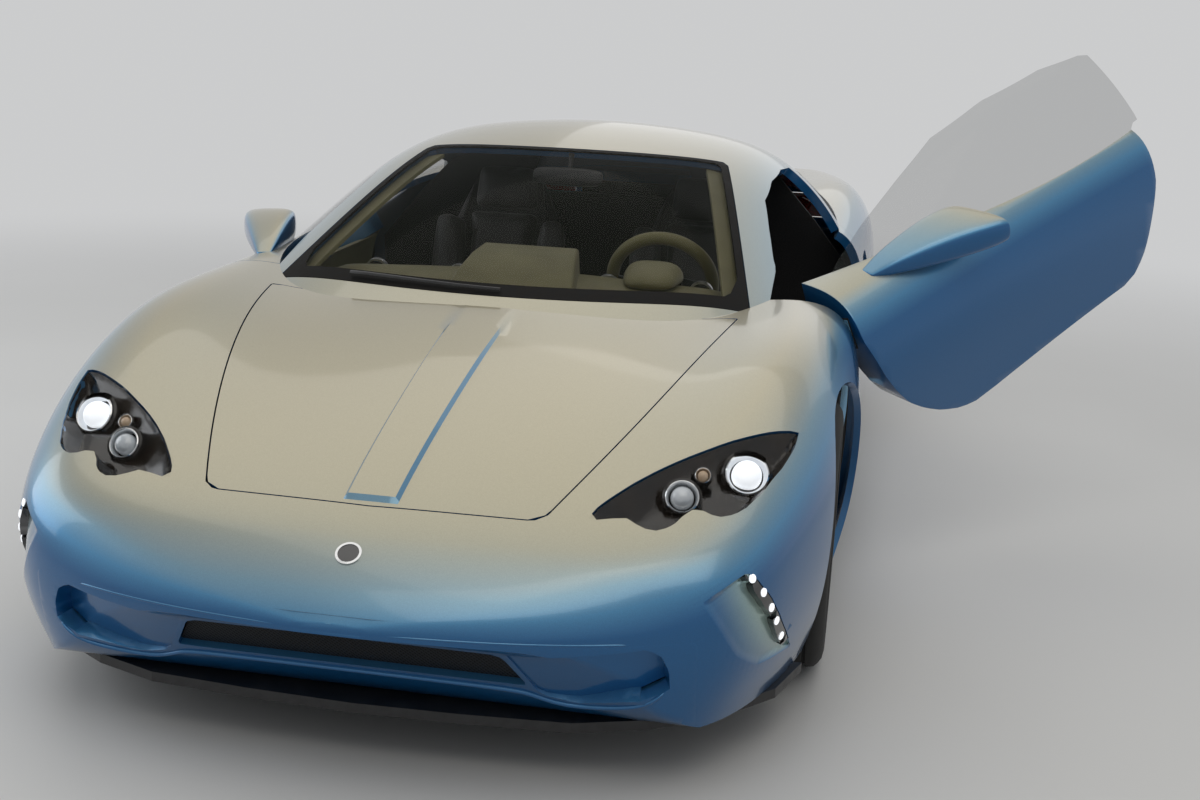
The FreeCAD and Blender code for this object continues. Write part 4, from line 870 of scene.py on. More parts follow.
for edge_name, line, proud, half in (("nose_lower_lip", LIP, 0.012, 0.007),
                                     ("nose_crease", CREASE, 0.0045, 0.0035)):
    rows = [[at_front(x, z / 1000)[0] + Vector((0, a * proud, b * half)) for a, b in
             ((0.9, -1), (-0.35, -0.9), (-0.62, 0.0), (-0.35, 0.9), (0.9, 1))]
            for x, z in [(-x, z) for x, z in reversed(line)] + list(line[1:])]
    done(softened(loft(edge_name, rows)), paint, "car_body")

# Wire mesh: one black weave of fine steel wires on the diagonal, bonded behind the mouth, the tail's slot
# and the side intakes.
WIRES = 45.0


def woven_mesh(name, scale):
    """Black wire mesh: fine raised wires on a diagonal, with painted shade in the holes between them."""
    material, nodes, links, shader, place = new_material(name)
    turned = add(nodes, links, "Mapping", {"Vector": place, "Rotation": (0, math.radians(45), 0)}).outputs[0]
    checks = []
    for direction in ("X", "Z"):
        wave = add(nodes, links, "TexWave", {"Vector": turned, "Scale": scale}, bands_direction=direction)
        checks.append(wave.outputs["Fac"])
    wires = add(nodes, links, "Math", {0: checks[0], 1: checks[1]}, operation="MAXIMUM").outputs[0]
    # Painted shade: the holes are near black, as the shaded space seen through a mesh, and the wires a little
    # lighter.
    links.new(ramp(nodes, links, wires, (0.70, (0.002, 0.002, 0.002)), (0.90, (0.016, 0.016, 0.017))),
              shader.inputs["Base Color"])
    raised = add(nodes, links, "Bump", {"Height": wires, "Strength": 0.5, "Distance": 0.002})
    links.new(raised.outputs["Normal"], shader.inputs["Normal"])
    shader.inputs["Roughness"].default_value = 0.5
    shader.inputs["Specular IOR Level"].default_value = 0.2
    return material


wire_mesh = woven_mesh("black_wire_mesh", WIRES)
mouth.data.materials.append(wire_mesh)
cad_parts["tail_grille"].data.materials.clear()
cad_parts["tail_grille"].data.materials.append(wire_mesh)

# Badge recess: a plain dark oval in a bright chrome rim, laid on the nose over the crease and left bare,
# without a mark.
chrome = finish("bright_chrome", (0.62, 0.63, 0.64), (0.72, 0.73, 0.74), 20, (0.05, 0.09), metallic=1.0)
BADGE = Vector((0, -2.14, 0.47))


def oval(radius):
    """The badge's outline in plan, in mm."""
    return [(radius * math.cos(2 * math.pi * k / 40),
             BADGE.y * 1000 + radius * 0.82 * math.sin(2 * math.pi * k / 40)) for k in range(40)]


def fine_skin(wanted, cuts):
    """The faces of the body skin whose centre is wanted, divided more finely."""
    bm = bmesh.new()
    bm.from_mesh(body_skin)
    away = [face for face in bm.faces if not wanted(face.calc_center_median())]
    bmesh.ops.delete(bm, geom=away, context="FACES")
    bmesh.ops.subdivide_edges(bm, edges=bm.edges, cuts=cuts, use_grid_fill=True)
    return bm


for name, radius, hole, rise, material in (("badge_rim", 27, 22, 0.003, chrome),
                                           ("badge_disc", 22, 0, 0.0015, black_gloss)):
    bm = fine_skin(lambda centre: (centre - BADGE).length <= 0.14, 5)
    trim(bm, inside(oval(radius), 0, 1))
    trim(bm, lambda p: p[:, 2] - 0.38)
    if hole:
        trim(bm, outside(oval(hole), 0, 1))
    done(sheet(name, bm, rise, 40, offset=1), material, "car_body")

# Side intakes: a panel of black wire mesh on each side, cut to the body's own curve and set back in the
# opening ahead of the rear wheel.
for side, way in SIDES:
    mesh = cut_from(body_skin, lambda p: p[:, 0] * way - 0.85, lambda p: inside(INTAKE, 1, 2)(p) + 0.004)
    for vert in mesh.verts:
        vert.co.x -= way * 0.023
    mesh = link("side_intake_mesh_" + side, mesh)
    modify(mesh, "SOLIDIFY", thickness=0.003, offset=-1)
    done(mesh, wire_mesh, "car_body")

# Headlamps: a black moulded bowl with a scalloped inner edge, let into the wing under a clear cover. It
# holds a large and a small projector and an indicator bulb, each in a turned chrome ring.
bowl_black = finish("lamp_bowl_black", (0.004, 0.004, 0.004), (0.016, 0.011, 0.007), 14, (0.10, 0.18))
cover_glass = tinted_glass("lamp_cover", (0.010, 0.008, 0.006), 0.05, 0.35)
lens_glass = finish("projector_lens", (0.55, 0.60, 0.64), (0.72, 0.76, 0.80), 20, (0.02, 0.05),
                    Coat_Weight=1.0, Specular_IOR_Level=0.9)
lit = finish("lit_lens", (0.90, 0.93, 1.0), (1.0, 1.0, 1.0), 30, (0.05, 0.1), Emission_Strength=0.7)
lit.node_tree.nodes["Principled BSDF"].inputs["Emission Color"].default_value = (0.92, 0.96, 1.0, 1)
amber = finish("indicator_bulb", (0.50, 0.35, 0.22), (0.65, 0.50, 0.36), 30, (0.1, 0.2))


def turned_ring(name, centre, axis, profile, steps=48):
    """A turned piece: (radius, height) pairs spun about an axis through a centre."""
    bm = bmesh.new()
    stand = axis.to_track_quat("Z", "Y").to_matrix().to_4x4()
    stand.translation = centre
    rings = []
    for radius, height in profile:
        turns = [2 * math.pi * k / steps for k in range(steps if radius > 1e-6 else 1)]
        rings.append([bm.verts.new(stand @ Vector((radius * math.cos(turn), radius * math.sin(turn), height)))
                      for turn in turns])
    for before, after in zip(rings, rings[1:]):
        for k in range(steps):
            corners = [before[k - 1], before[k]] if len(before) > 1 else [before[0]]
            corners += [after[k], after[k - 1]] if len(after) > 1 else [after[0]]
            bm.faces.new(corners)
    bmesh.ops.recalc_face_normals(bm, faces=bm.faces)
    piece = link(name, bm)
    smooth(piece, 30)
    return piece


CHROME_RING = [(0.72, -0.9), (0.86, -0.2), (0.98, 0.10), (1.0, 0.16), (0.94, 0.2), (0.86, 0.12), (0.80, -0.1),
               (0.66, -0.55)]
LENS = [(0.70, -0.3), (0.68, 0.0), (0.58, 0.2), (0.40, 0.34), (0.20, 0.41), (0.0, 0.43)]
SHROUD = [(0.97, 0.0), (1.06, 0.10), (1.17, 0.02), (1.20, -0.4), (1.22, -1.8)]
PROJECTORS = (
    # name, x, y, radius, sunk below the skin, lens
    ("main_projector", 0.757, -1.760, 0.047, 0.030, lit),
    ("small_projector", 0.628, -1.862, 0.036, 0.030, lens_glass),
    ("indicator", 0.662, -1.790, 0.017, 0.026, amber),
)


def in_lamp(p, way):
    """How far points lie inside the headlamp's outline on one side."""
    return inside(LAMP, 0, 1)(p * (way, 1, 1))


for side, way in SIDES:
    bowl = fine_skin(lambda c: 0.40 < c.x * way < 0.90 and -2.05 < c.y < -1.55 and c.z > 0.4, 3)
    cover = bowl.copy()
    trim(cover, lambda p: in_lamp(p, way) - 0.0015)
    done(sheet("lamp_cover_" + side, cover, 0.003, 50), cover_glass, "car_body",
         *(["headlamps"] if way > 0 else []), slot="lamp")
    trim(bowl, lambda p: in_lamp(p, way) - 0.0005)
    for vert, inner in zip(bowl.verts, in_lamp(np.array([vert.co for vert in bowl.verts]), way)):
        vert.co.z -= 0.058 * share_of(inner, 0.040) ** 0.6
    done(sheet("lamp_bowl_" + side, bowl, 0.002, 40), bowl_black, "car_body", slot="black_gloss")
    for name, x, y, radius, sunk, glass in PROJECTORS:
        spot, normal = below(body_tree, x * way, y)
        axis = (normal * 0.35 + Vector((0.10 * way, -0.85, 0.30))).normalized()
        for part, profile, material in (("ring", CHROME_RING, chrome), ("lens", LENS, glass),
                                        ("shroud", SHROUD, bowl_black)):
            piece = turned_ring("%s_%s_%s" % (name, part, side), spot - normal * sunk, axis,
                                [(r * radius, h * radius) for r, h in profile], 40)
            under_cover = bmesh.new()
            under_cover.from_mesh(piece.data)
            trim(under_cover, lambda p: -0.004 - body_above(p))
            under_cover.to_mesh(piece.data)
            under_cover.free()
            done(piece, material, "car_body")

# Daytime lamps: five white diodes on a smoked strip that curves down the nose's corner, bonded into a scoop
# of the front wing.
for side, way in SIDES:
    strip = cut_from(body_skin, lambda p: p[:, 0] * way, lambda p: -1.7 - p[:, 1],
                     lambda p: inside(STRIP, 0, 2)(p * (way, 1, 1)) - 0.001)
    for vert in strip.verts:
        vert.co.y += 0.004
    done(sheet("daytime_strip_" + side, strip, 0.036), black_gloss, "car_body",
         *(["daytime_lamps"] if way > 0 else []), slot="lamp")
    for k, (x, z) in enumerate(((0.795, 0.456), (0.818, 0.421), (0.835, 0.381), (0.846, 0.344), (0.856, 0.297))):
        spot, normal = at_front(x * way, z)
        piece = turned_ring("diode_%s_%d" % (side, k), spot + Vector((0, 0.004, 0)) - normal * 0.001, normal,
                            [(0.0095, 0.0), (0.0090, 0.003), (0.0065, 0.0045), (0, 0.005)], 20)
        done(piece, lit, "car_body")

# Wheels: a low rubber tyre with a grooved tread on a dark cast rim with ten spokes and a hub, and a vented
# brake disc behind the spokes. All of it turns with the wheel.
rubber = finish("tyre_rubber", (0.012, 0.012, 0.012), (0.022, 0.022, 0.021), 60, (0.75, 0.88), bump=0.15)
rim_metal = finish("satin_rim", (0.10, 0.105, 0.11), (0.16, 0.165, 0.17), 25, (0.28, 0.38), metallic=0.9)
disc_metal = finish("brake_disc", (0.32, 0.32, 0.33), (0.48, 0.48, 0.49), 70, (0.25, 0.4), metallic=1.0)
WHEELS = (
    # name, side, x, y, radius, width, rim radius
    ("front_left", 1, 0.820, -1.280, 0.327, 0.245, 0.241),
    ("front_right", -1, 0.820, -1.280, 0.327, 0.245, 0.241),
    ("rear_left", 1, 0.800, 1.380, 0.345, 0.305, 0.254),
    ("rear_right", -1, 0.800, 1.380, 0.345, 0.305, 0.254),
)


def wheel_matrix(side, x, y, radius):
    """A wheel's own +Z points out of the car."""
    return Matrix.Translation((side * x, y, radius)) @ Matrix.Rotation(side * math.pi / 2, 4, "Y")


def spun(profile, steps, closed=False):
    """(radius, height) pairs spun about Z, at the origin."""
    bm = bmesh.new()
    bridge(bm, [[(r * math.cos(2 * math.pi * k / steps), r * math.sin(2 * math.pi * k / steps), h)
                 for k in range(steps)] for r, h in profile], closed)
    bmesh.ops.recalc_face_normals(bm, faces=bm.faces)
    return bm


def tyre_profile(radius, half, seat):
    """A tyre's section: a wall on each side of a tread with five grooves."""
    wall = radius - seat
    flank = [(seat + 0.001, 0.84), (seat + 0.012, 0.90), (seat + wall * 0.28, 0.985), (seat + wall * 0.50, 0.998),
             (seat + wall * 0.72, 0.965), (radius - 0.012, 0.90), (radius - 0.003, 0.83), (radius, 0.75)]
    tread = [(radius - deep, x * half + step) for x in (-0.62, -0.34, 0, 0.34, 0.62)
             for deep, step in ((0, -0.0045), (0.007, -0.003), (0.007, 0.003), (0, 0.0045))]
    return [(r, -half * share) for r, share in flank] + tread + [(r, half * share) for r, share in reversed(flank)]


def wheel_part(kind, name, source, angle, place, material, *nodes, slot=None):
    """Put a turned piece in its place on a wheel."""
    piece = link(kind + name, source)
    piece.data.transform(place)
    smooth(piece, angle)
    done(piece, material, "wheel_" + name, *nodes, slot=slot)


for name, side, x, y, radius, width, seat in WHEELS:
    half = width / 2
    place = wheel_matrix(side, x, y, radius)
    wheel_part("tyre_ring_", name, spun(tyre_profile(radius, half, seat), 144, True), 30, place, rubber,
               "tyre_" + name, slot="tyre")
    barrel = [(seat, half * 0.84), (seat - 0.004, half * 0.86), (seat - 0.012, half * 0.84),
              (seat - 0.016, half * 0.78), (seat - 0.022, half * 0.3), (seat - 0.014, -half * 0.80),
              (seat - 0.004, -half * 0.86), (seat, -half * 0.84)]
    wheel_part("rim_barrel_", name, spun(barrel, 96, True), 40, place, rim_metal, "rim_" + name, slot="rim")
    bm = bmesh.new()
    for k in range(10):
        turn = Matrix.Rotation(2 * math.pi * k / 10, 4, "Z")
        capped(bm, [[turn @ Vector((r, w * spread, h * half - drop)) for w, h, drop in
                     ((-1, low, 0), (-0.9, high, 0.004), (-0.55, high, 0), (0.55, high, 0), (0.9, high, 0.004),
                      (1, low, 0))]
                    for r, spread, low, high in ((0.040, 0.020, 0.40, 0.70), (0.095, 0.015, 0.38, 0.72),
                                                 (0.165, 0.013, 0.46, 0.78), (seat - 0.018, 0.024, 0.52, 0.82))])
    bmesh.ops.recalc_face_normals(bm, faces=bm.faces)
    spokes = link("rim_spokes_" + name, bm)
    bevel_edges(spokes, 0.002, 2, 40)
    spokes.data.transform(place)
    smooth(spokes)
    done(spokes, rim_metal, "wheel_" + name)
    hub = turned_ring("rim_hub_" + name, place.translation, place.to_3x3() @ Vector((0, 0, 1)),
                      [(0.0201, -0.046), (0.062, -0.046), (0.062, half * 0.60), (0.056, half * 0.71),
                       (0.034, half * 0.735), (0.030, half * 0.70), (0.0, half * 0.70)])
    done(hub, rim_metal, "wheel_" + name)
    disc = [(0.062, -0.045), (0.176, -0.045), (0.178, -0.043), (0.178, -0.036), (0.120, -0.035), (0.120, -0.027),
            (0.178, -0.026), (0.178, -0.019), (0.176, -0.017), (0.062, -0.017)]
    wheel_part("brake_disc_", name, spun(disc, 72, True), 30, place, disc_metal)

# Underbody, suspension and powertrain: the plain solids themselves in cast, sheet and moulded finishes,
# because they show only from below and through glass.
cast = finish("cast_alloy", (0.30, 0.30, 0.31), (0.42, 0.42, 0.43), 50, (0.45, 0.6), metallic=0.9, bump=0.1)
sheet_metal = finish("sheet_aluminium", (0.38, 0.38, 0.39), (0.46, 0.46, 0.47), 8, (0.35, 0.5), metallic=0.8)
dark_metal = finish("dark_cast_block", (0.035, 0.036, 0.038), (0.07, 0.07, 0.072), 40, (0.5, 0.65), metallic=0.6,
                    bump=0.15)
carpet = finish("black_carpet", (0.010, 0.010, 0.011), (0.024, 0.024, 0.025), 200, (0.9, 0.98), bump=0.5,
                depth=0.002)
for material, names in ((cast, ("knuckle_front_left", "knuckle_front_right", "rear_uprights")),
                        (steel, ("front_wishbones", "rear_wishbones", "exhaust")),
                        (sheet_metal, ("floor_pan", "front_bulkhead")),
                        (carpet, ("luggage_tub", "rear_bulkhead")),
                        (dark_metal, ("engine", "rear_frame")),
                        (black_plastic, ("arch_liners", "rear_diffuser", "splitter", "centre_console")),
                        (side_glass, ("rear_window",))):
    for name in names:
        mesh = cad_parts[name].data
        mesh.materials.clear()
        mesh.materials.append(material)

# Dash: a hide-covered top across the cabin, with a raised middle hood that holds a screen, and four round
# air vents.
screen_black = finish("instrument_glass", (0.004, 0.004, 0.005), (0.010, 0.010, 0.012), 5, (0.04, 0.08),
                      Coat_Weight=1.0)
DASH = ((-0.966, 0.640), (-0.966, 0.712), (-0.900, 0.741), (-0.780, 0.791), (-0.640, 0.812), (-0.580, 0.806),
        (-0.548, 0.782), (-0.546, 0.752), (-0.575, 0.700), (-0.610, 0.648), (-0.700, 0.610), (-0.800, 0.610))
sections = []
for x in (-0.590, -0.560, -0.400, -0.200, 0.0, 0.200, 0.400, 0.560, 0.590):
    height = 0.86 if abs(x) > 0.58 else 1.0
    crown = 0.010 * math.cos(math.pi * x / 0.59)
    sections.append([(x, y + (0.004 if abs(x) < 0.45 and z <= 0.7 else 0),
                      0.70 + (z - 0.70) * height + (crown if z > 0.74 else 0)) for y, z in DASH])
done(softened(loft("dash_top", sections)), tan_leather, "car_body", "dashboard", slot="leather")
hood = loft("dash_middle_hood", [
    [(-w, y, low), (w, y, low), (w * 0.94, y, top), (-w * 0.94, y, top)] for w, y, low, top in
    ((0.195, -0.905, 0.725, 0.765), (0.180, -0.800, 0.760, 0.832), (0.162, -0.690, 0.790, 0.872),
     (0.150, -0.600, 0.790, 0.886), (0.146, -0.566, 0.740, 0.880), (0.125, -0.552, 0.700, 0.820))])
done(rounded(hood, 0.010, 4), tan_leather, "car_body")
screen = loft("middle_screen", [[(-0.105, y, z), (0.105, y, z), (0.105, y + 0.006, z - 0.002),
                                 (-0.105, y + 0.006, z - 0.002)] for y, z in ((-0.5595, 0.862), (-0.5455, 0.768))])
done(rounded(screen, 0.002, 2), screen_black, "car_body")
VENT_HEIGHT, VENT_RADIUS, VANE_STEP = 0.775, 0.030, 0.011
VANE = ((-0.566, -0.0012), (-0.552, -0.0052), (-0.552, -0.0028), (-0.566, 0.0012))
for x in (-0.480, -0.225, 0.225, 0.500):
    vent_axis = Vector((0, 1, 0.12)).normalized()
    vent_ring = turned_ring("vent_ring_%d" % (x * 1000), (x, -0.553, VENT_HEIGHT), vent_axis,
                            [(0.030, -0.012), (0.036, -0.012), (0.036, 0.004), (0.033, 0.007), (0.030, 0.004)], 40)
    done(vent_ring, steel, "car_body")
    vanes = bmesh.new()
    for k in range(-2, 3):
        rise = k * VANE_STEP
        half = math.sqrt(VENT_RADIUS ** 2 - rise ** 2)
        capped(vanes, [[(x + way * half, y, VENT_HEIGHT + rise + lift) for y, lift in VANE] for way in (-1, 1)])
    bmesh.ops.recalc_face_normals(vanes, faces=vanes.faces)
    done(link("vent_vanes_%d" % (x * 1000), vanes), black_plastic, "car_body")

# Steering wheel and its column: a thick hide rim on three flat spokes and a round pad, before a moulded cowl
# and two gauges under a hide hood.
SEAT_X = 0.365
WHEEL_CENTRE = Vector((SEAT_X, -0.405, 0.775))
TILT = math.radians(24)
wheel_axis = Vector((0, math.cos(TILT), math.sin(TILT)))
wheel_up = wheel_axis.cross(Vector((1, 0, 0)))
wheel_frame = (Matrix.Translation(WHEEL_CENTRE)
               @ Matrix((Vector((1, 0, 0)), wheel_up, wheel_axis)).transposed().to_4x4())
RIM, GRIP = 0.152, 0.0195
grip = link("wheel_grip", spun([(RIM + GRIP * math.cos(math.pi * k / 7), GRIP * math.sin(math.pi * k / 7))
                                for k in range(14)], 96, True))
grip.data.transform(wheel_frame)
smooth(grip, 60)
done(grip, tan_leather, "steering_wheel", "steering_wheel", slot="leather")
pad = spun([(0.0, 0.018), (0.030, 0.018), (0.052, 0.013), (0.062, 0.002), (0.060, -0.018), (0.040, -0.024),
            (0.0, -0.024)], 64)
bmesh.ops.remove_doubles(pad, verts=pad.verts, dist=0.0001)
bmesh.ops.recalc_face_normals(pad, faces=pad.faces)
pad = link("wheel_pad", pad)
pad.data.transform(wheel_frame)
smooth(pad, 60)
done(pad, dark_leather, "steering_wheel")
for turn in (0, 180, 270):
    spoke = loft("wheel_spoke_%d" % turn, [
        [(r, -w, -0.006 - d), (r, w, -0.006 - d), (r, w * 0.8, 0.003 - d), (r, -w * 0.8, 0.003 - d)] for r, w, d in
        ((0.045, 0.026, 0.0), (0.095, 0.017, 0.004), (0.122, 0.015, 0.003), (0.150, 0.019, 0.0))])
    spoke.data.transform(wheel_frame @ Matrix.Rotation(math.radians(-turn), 4, "Z"))
    done(rounded(spoke, 0.002, 2), rim_metal, "steering_wheel")
cowl = loft("column_cowl", [
    [WHEEL_CENTRE + Vector((x, 0, 0)) - wheel_axis * d + wheel_up * v for x, v in
     ((-w, -h), (w, -h), (w * 1.05, h * 0.4), (w * 0.6, h), (-w * 0.6, h), (-w * 1.05, h * 0.4))]
    for d, w, h in ((0.040, 0.036, 0.034), (0.100, 0.046, 0.044), (0.190, 0.060, 0.050))])
done(softened(cowl), black_plastic, "car_body")
binnacle = loft("gauge_hood", [
    [(SEAT_X + a * w, y, z + b * h) for a, b in
     ((-1, -1), (1, -1), (1.02, 0.1), (0.75, 0.86), (0.3, 1), (-0.3, 1), (-0.75, 0.86), (-1.02, 0.1))]
    for y, z, w, h in ((-0.730, 0.812, 0.056, 0.012), (-0.690, 0.820, 0.076, 0.026),
                       (-0.600, 0.828, 0.088, 0.037), (-0.560, 0.830, 0.088, 0.036))])
done(softened(binnacle), tan_leather, "car_body")
for x in (0.325, 0.405):
    gauge = turned_ring("gauge_%d" % (x * 1000), (x, -0.554, 0.828), Vector((0, 1, 0.1)).normalized(),
                        [(0.0, 0.003), (0.025, 0.003), (0.027, 0.008), (0.029, 0.008), (0.029, -0.010),
                         (0.0, -0.010)])
    done(gauge, screen_black, "car_body")

# Interior mirror and wiper: a moulded head on a stalk bonded under the top of the windscreen, and one black
# blade parked along its foot.
stalk = turned_ring("inner_mirror_stalk", (0, -0.055, 1.098), Vector((0, -0.35, -0.94)).normalized(),
                    [(0.0, -0.012), (0.010, -0.012), (0.007, 0.010), (0.006, 0.045), (0.0, 0.045)], 24)
done(stalk, black_plastic, "car_body")
inner = loft("inner_mirror", [
    [(x, -0.100 + s * thick, 1.040 + b * high) for s, b in ((-1, -1), (1, -1), (1, 1), (-1, 1))]
    for x, thick, high in ((-0.115, 0.006, 0.018), (-0.100, 0.013, 0.030), (0.0, 0.015, 0.034),
                           (0.100, 0.013, 0.030), (0.115, 0.006, 0.018))])
done(softened(inner), black_plastic, "car_body")
sections = []
for share in np.linspace(0, 1, 9):
    spot, normal = below(cabin_tree, -0.430 + share * 0.440, -0.925 - 0.062 * math.sin(share * math.pi / 2))
    sections.append([spot + normal * (0.012 - 0.004 * share) + Vector((0, way * (0.0075 - 0.0035 * share), lift))
                     for way, lift in ((-1, -0.003), (1, -0.003), (0.7, 0.004), (-0.7, 0.004))])
done(rounded(loft("wiper_arm", sections), 0.001, 2), black_plastic, "car_body")

# Tail: slim red lamps with bright rings each side of a mesh panel, a bare plate recess, a finned diffuser
# and two polished exhaust tips.
red_lens = tinted_glass("red_lens", (0.42, 0.010, 0.008), 0.90)
red_glow = finish("red_lamp_core", (0.55, 0.02, 0.012), (0.75, 0.05, 0.03), 90, (0.2, 0.3))
LENS_FACE = 2.222
LENS_EDGE = [(433, 797), (758, 797), (786, 740), (758, 693), (433, 693)]
REARWARD = Vector((0, 1, 0))
for side, way in SIDES:
    lens = loft("tail_lens_" + side, [[(way * x / 1000, y, z / 1000) for x, z in LENS_EDGE]
                                      for y in (2.204, LENS_FACE)])
    done(rounded(lens, 0.004), red_lens, "car_body", *(["tail_lamps"] if way > 0 else []), slot="tail_lamp")
    for x in (0.520, 0.640):
        lamp_ring = turned_ring("tail_lamp_ring_%s_%d" % (side, x * 1000), (way * x, LENS_FACE, 0.745), REARWARD,
                                [(0.030, -0.002), (0.040, -0.002), (0.040, 0.003), (0.037, 0.006), (0.033, 0.006),
                                 (0.030, 0.003)])
        done(lamp_ring, chrome, "car_body")
        core = turned_ring("tail_lamp_core_%s_%d" % (side, x * 1000), (way * x, LENS_FACE, 0.745), REARWARD,
                           [(0.0, 0.004), (0.016, 0.003), (0.0285, -0.001), (0.0, -0.001)])
        done(core, red_glow, "car_body")
plate = loft("plate_recess", [[(-w, y, 0.560 - h), (w, y, 0.560 - h), (w, y, 0.560 + h), (-w, y, 0.560 + h)]
                              for w, h, y in ((0.270, 0.070, 2.2255), (0.262, 0.062, 2.2300),
                                              (0.256, 0.056, 2.2300), (0.252, 0.052, 2.2262))])
smooth(plate, 30)
done(plate, black_plastic, "car_body")
for side, way in SIDES:
    tip = turned_ring("exhaust_tip_" + side, (way * TAIL_PIPE[0], 2.236, TAIL_PIPE[1]), REARWARD,
                      [(0.040, -0.140), (0.0475, -0.140), (0.0475, -0.006), (0.0455, 0.0), (0.0435, -0.001),
                       (0.0420, -0.010)], 64)
    done(tip, chrome, "car_body")
for k in range(5):
    x = (k - 2) * 0.200
    fin = loft("diffuser_fin_%d" % k, [
        [(x - 0.005, y, low), (x + 0.005, y, low), (x + 0.005, y, top), (x - 0.005, y, top)] for y, low, top in
        ((1.900, 0.142, 0.160), (2.050, 0.150, 0.215), (2.200, 0.168, 0.262))])
    done(rounded(fin, 0.0015, 2), black_plastic, "car_body")

# Seats: each a dark shell with its own padded cushion, backrest, side bolsters and headrest. The pads swell
# in a short cloth simulation.
PADS = (
    # name, size across, along and through, centre y and z, offset x, lean and twist in degrees, cap
    ("cushion", (0.290, 0.400, 0.075), 0.140, 0.318, 0.0, -8, 0, 0.016),
    ("backrest", (0.280, 0.520, 0.070), 0.486, 0.590, 0.0, 74, 0, 0.016),
    ("headrest", (0.230, 0.150, 0.070), 0.590, 0.916, 0.0, 80, 0, 0.012),
    ("thigh_bolster", (0.085, 0.400, 0.110), 0.130, 0.340, 0.196, -8, 14, 0.010),
    ("side_bolster", (0.085, 0.440, 0.130), 0.455, 0.600, 0.190, 74, 10, 0.010),
)
PAD_GRAIN, STUFFING, LAST_FRAME = 0.007, 4.0, 20


def swollen(piece, cap):
    """Fill a pad: its faces push outwards for twenty frames, and no point moves further than the cap."""
    modify(piece, "REMESH", mode="VOXEL", voxel_size=PAD_GRAIN)
    bpy.context.scene.frame_set(1)
    cloth = piece.modifiers.new("stuffing", "CLOTH")
    cloth.settings.use_pressure = True
    cloth.settings.uniform_pressure_force = STUFFING
    cloth.settings.effector_weights.gravity = 0.0
    cloth.point_cache.frame_start = 1
    cloth.point_cache.frame_end = LAST_FRAME
    start = [vert.co.copy() for vert in piece.data.vertices]
    for number in range(1, LAST_FRAME + 1):
        bpy.context.scene.frame_set(number)
    bpy.ops.object.modifier_apply(modifier=cloth.name)
    bpy.context.scene.frame_set(1)
    for vert, home in zip(piece.data.vertices, start):
        shift = vert.co - home
        if shift.length > cap:
            vert.co = home + shift.normalized() * cap
    modify(piece, "SUBSURF", levels=1, render_levels=1)


def seat_pad(name, size, y, z, offset, lean, twist, cap):
    """One padded piece of a seat: a tapered block with round edges, swollen and put in its place."""
    bpy.ops.mesh.primitive_cube_add(size=1)
    pad = bpy.context.object
    pad.name = name
    pad.data.name = name
    pad.data.transform(Matrix.Diagonal((*size, 1)))
    for vert in pad.data.vertices:
        vert.co.x *= 1.0 - 0.10 * (vert.co.y / size[1] + 0.5)
    modify(pad, "BEVEL", width=min(size) * 0.34, segments=4)
    swollen(pad, cap)
    turn = Matrix.Rotation(math.radians(lean), 4, "X") @ Matrix.Rotation(math.radians(twist), 4, "Y")
    pad.data.transform(Matrix.Translation((SEAT_X + offset, y, z)) @ turn)
    smooth(pad, 60)
    return pad


def copy_to(piece, name, matrix):
    """A copy of a finished piece, moved or mirrored in its mesh."""
    mesh = piece.data.copy()
    mesh.transform(matrix)
    if matrix.determinant() < 0:
        mesh.flip_normals()
    return link(name, mesh)


seat_hide = leather("seat_hide", (0.030, 0.029, 0.028), (0.052, 0.050, 0.048))
SHELL = ((-0.085, 0.180, 0.235), (-0.100, 0.275, 0.245), (-0.040, 0.300, 0.245), (0.200, 0.275, 0.248),
         (0.400, 0.275, 0.248), (0.480, 0.420, 0.248), (0.555, 0.700, 0.236), (0.600, 0.850, 0.180),
         (0.628, 0.975, 0.120), (0.652, 0.975, 0.118), (0.645, 0.850, 0.180), (0.605, 0.650, 0.236),
         (0.550, 0.420, 0.246), (0.515, 0.200, 0.246), (0.500, 0.150, 0.240), (-0.060, 0.150, 0.235))
shell = softened(loft("seat_shell", [[(SEAT_X + share * half, y, z) for y, z, half in SHELL]
                                     for share in (-1, -0.94, -0.5, 0, 0.5, 0.94, 1)]))
pads = [(row[0], seat_pad("seat_" + row[0], *row[1:])) for row in PADS]
for name, pad in list(pads):
    if "bolster" in name:
        other = Matrix.Translation((2 * SEAT_X, 0, 0)) @ MIRROR
        pads.append((name + "_inner", copy_to(pad, "seat_" + name + "_inner", other)))
for side in ("left", "right"):
    first = side == "left"
    done(shell if first else copy_to(shell, "seat_shell_right", MIRROR), black_plastic, "car_body", "seat_" + side,
         slot="seat_leather")
    for name, pad in pads:
        piece = pad if first else copy_to(pad, "seat_" + name + "_right", MIRROR)
        done(piece, seat_hide, "car_body")

# The floor, which fades into the backdrop, the soft lights over it and the camera, at the photograph's
# place.
BACKDROP = (0.60, 0.605, 0.61, 1)
bpy.ops.mesh.primitive_plane_add(size=60, location=(0, 0, -0.0005))
floor = bpy.context.object
floor.name = "studio_floor"
material, nodes, links, shader, place = new_material("studio_floor")
tone = add(nodes, links, "TexNoise", {"Vector": place, "Scale": 0.6, "Detail": 2.0}).outputs["Fac"]
links.new(ramp(nodes, links, tone, (0.3, (0.66, 0.66, 0.65)), (0.7, (0.70, 0.70, 0.69))),
          shader.inputs["Base Color"])
shader.inputs["Roughness"].default_value = 0.5
glow = nodes.new("ShaderNodeEmission")
glow.inputs["Color"].default_value = BACKDROP
reach = add(nodes, links, "VectorMath", {0: place}, operation="LENGTH").outputs["Value"]
fade = add(nodes, links, "MapRange", {"Value": reach, "From Min": 2.6, "From Max": 7.5},
           interpolation_type="SMOOTHSTEP").outputs[0]
mixed = nodes.new("ShaderNodeMixShader")
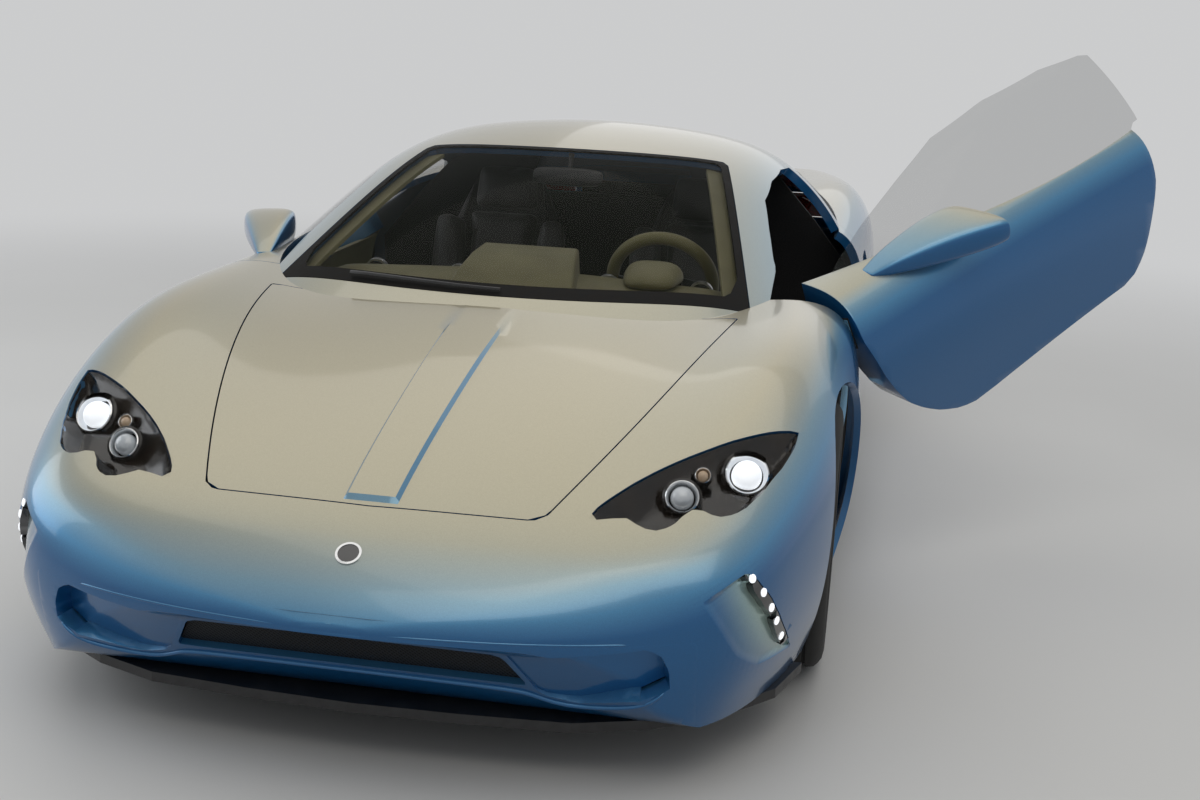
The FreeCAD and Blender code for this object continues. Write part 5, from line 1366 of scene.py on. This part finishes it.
links.new(fade, mixed.inputs["Fac"])
links.new(shader.outputs[0], mixed.inputs[1])
links.new(glow.outputs[0], mixed.inputs[2])
links.new(mixed.outputs[0], next(node for node in nodes if node.type == "OUTPUT_MATERIAL").inputs["Surface"])
floor.data.materials.append(material)

world = bpy.data.worlds.new("studio")
bpy.context.scene.world = world
world.use_nodes = True
nodes, links = world.node_tree.nodes, world.node_tree.links
background = nodes["Background"]
path = nodes.new("ShaderNodeLightPath")
seen = add(nodes, links, "Math", {0: path.outputs["Is Camera Ray"], 1: path.outputs["Is Glossy Ray"]}).outputs[0]
seen = add(nodes, links, "Math", {0: seen, 1: path.outputs["Is Transmission Ray"]}, use_clamp=True).outputs[0]
blend = add(nodes, links, "Mix", {"Factor": seen, 6: (0.36, 0.37, 0.385, 1), 7: BACKDROP}, data_type="RGBA")
links.new(blend.outputs[2], background.inputs["Color"])
for name, place, size, energy, colour in (
        ("key", (1.5, -4.0, 5.5), (6, 4), 85, (1.0, 0.95, 0.87)),
        ("top", (-0.5, 0.5, 5.5), (6, 7), 88, (1, 0.96, 0.89)),
        ("side", (-5.0, -1.5, 2.6), (4, 3), 60, (0.92, 0.96, 1.0)),
        ("rear", (1.5, 5.0, 3.5), (6, 4), 24, (1, 1, 1))):
    bpy.ops.object.light_add(type="AREA", location=place)
    lamp = bpy.context.object
    lamp.name = "light_" + name
    lamp.data.shape = "RECTANGLE"
    lamp.data.size, lamp.data.size_y = size
    lamp.data.energy = energy
    lamp.data.color = colour
    lamp.rotation_euler = (Vector((0, 0, 0.4)) - Vector(place)).to_track_quat("-Z", "Y").to_euler()

bpy.ops.object.camera_add(location=(0.97187, -4.84182, 1.52134))
camera = bpy.context.object
camera.data.sensor_width = 36
camera.data.lens = 45.092
camera.rotation_euler = (Matrix.Rotation(0.17453, 3, "Z") @ Matrix.Rotation(math.pi / 2 - 0.24556, 3, "X")
                         @ Matrix.Rotation(0.04328, 3, "Z")).to_euler()
bpy.context.scene.camera = camera
bpy.context.scene.view_settings.view_transform = "Standard"
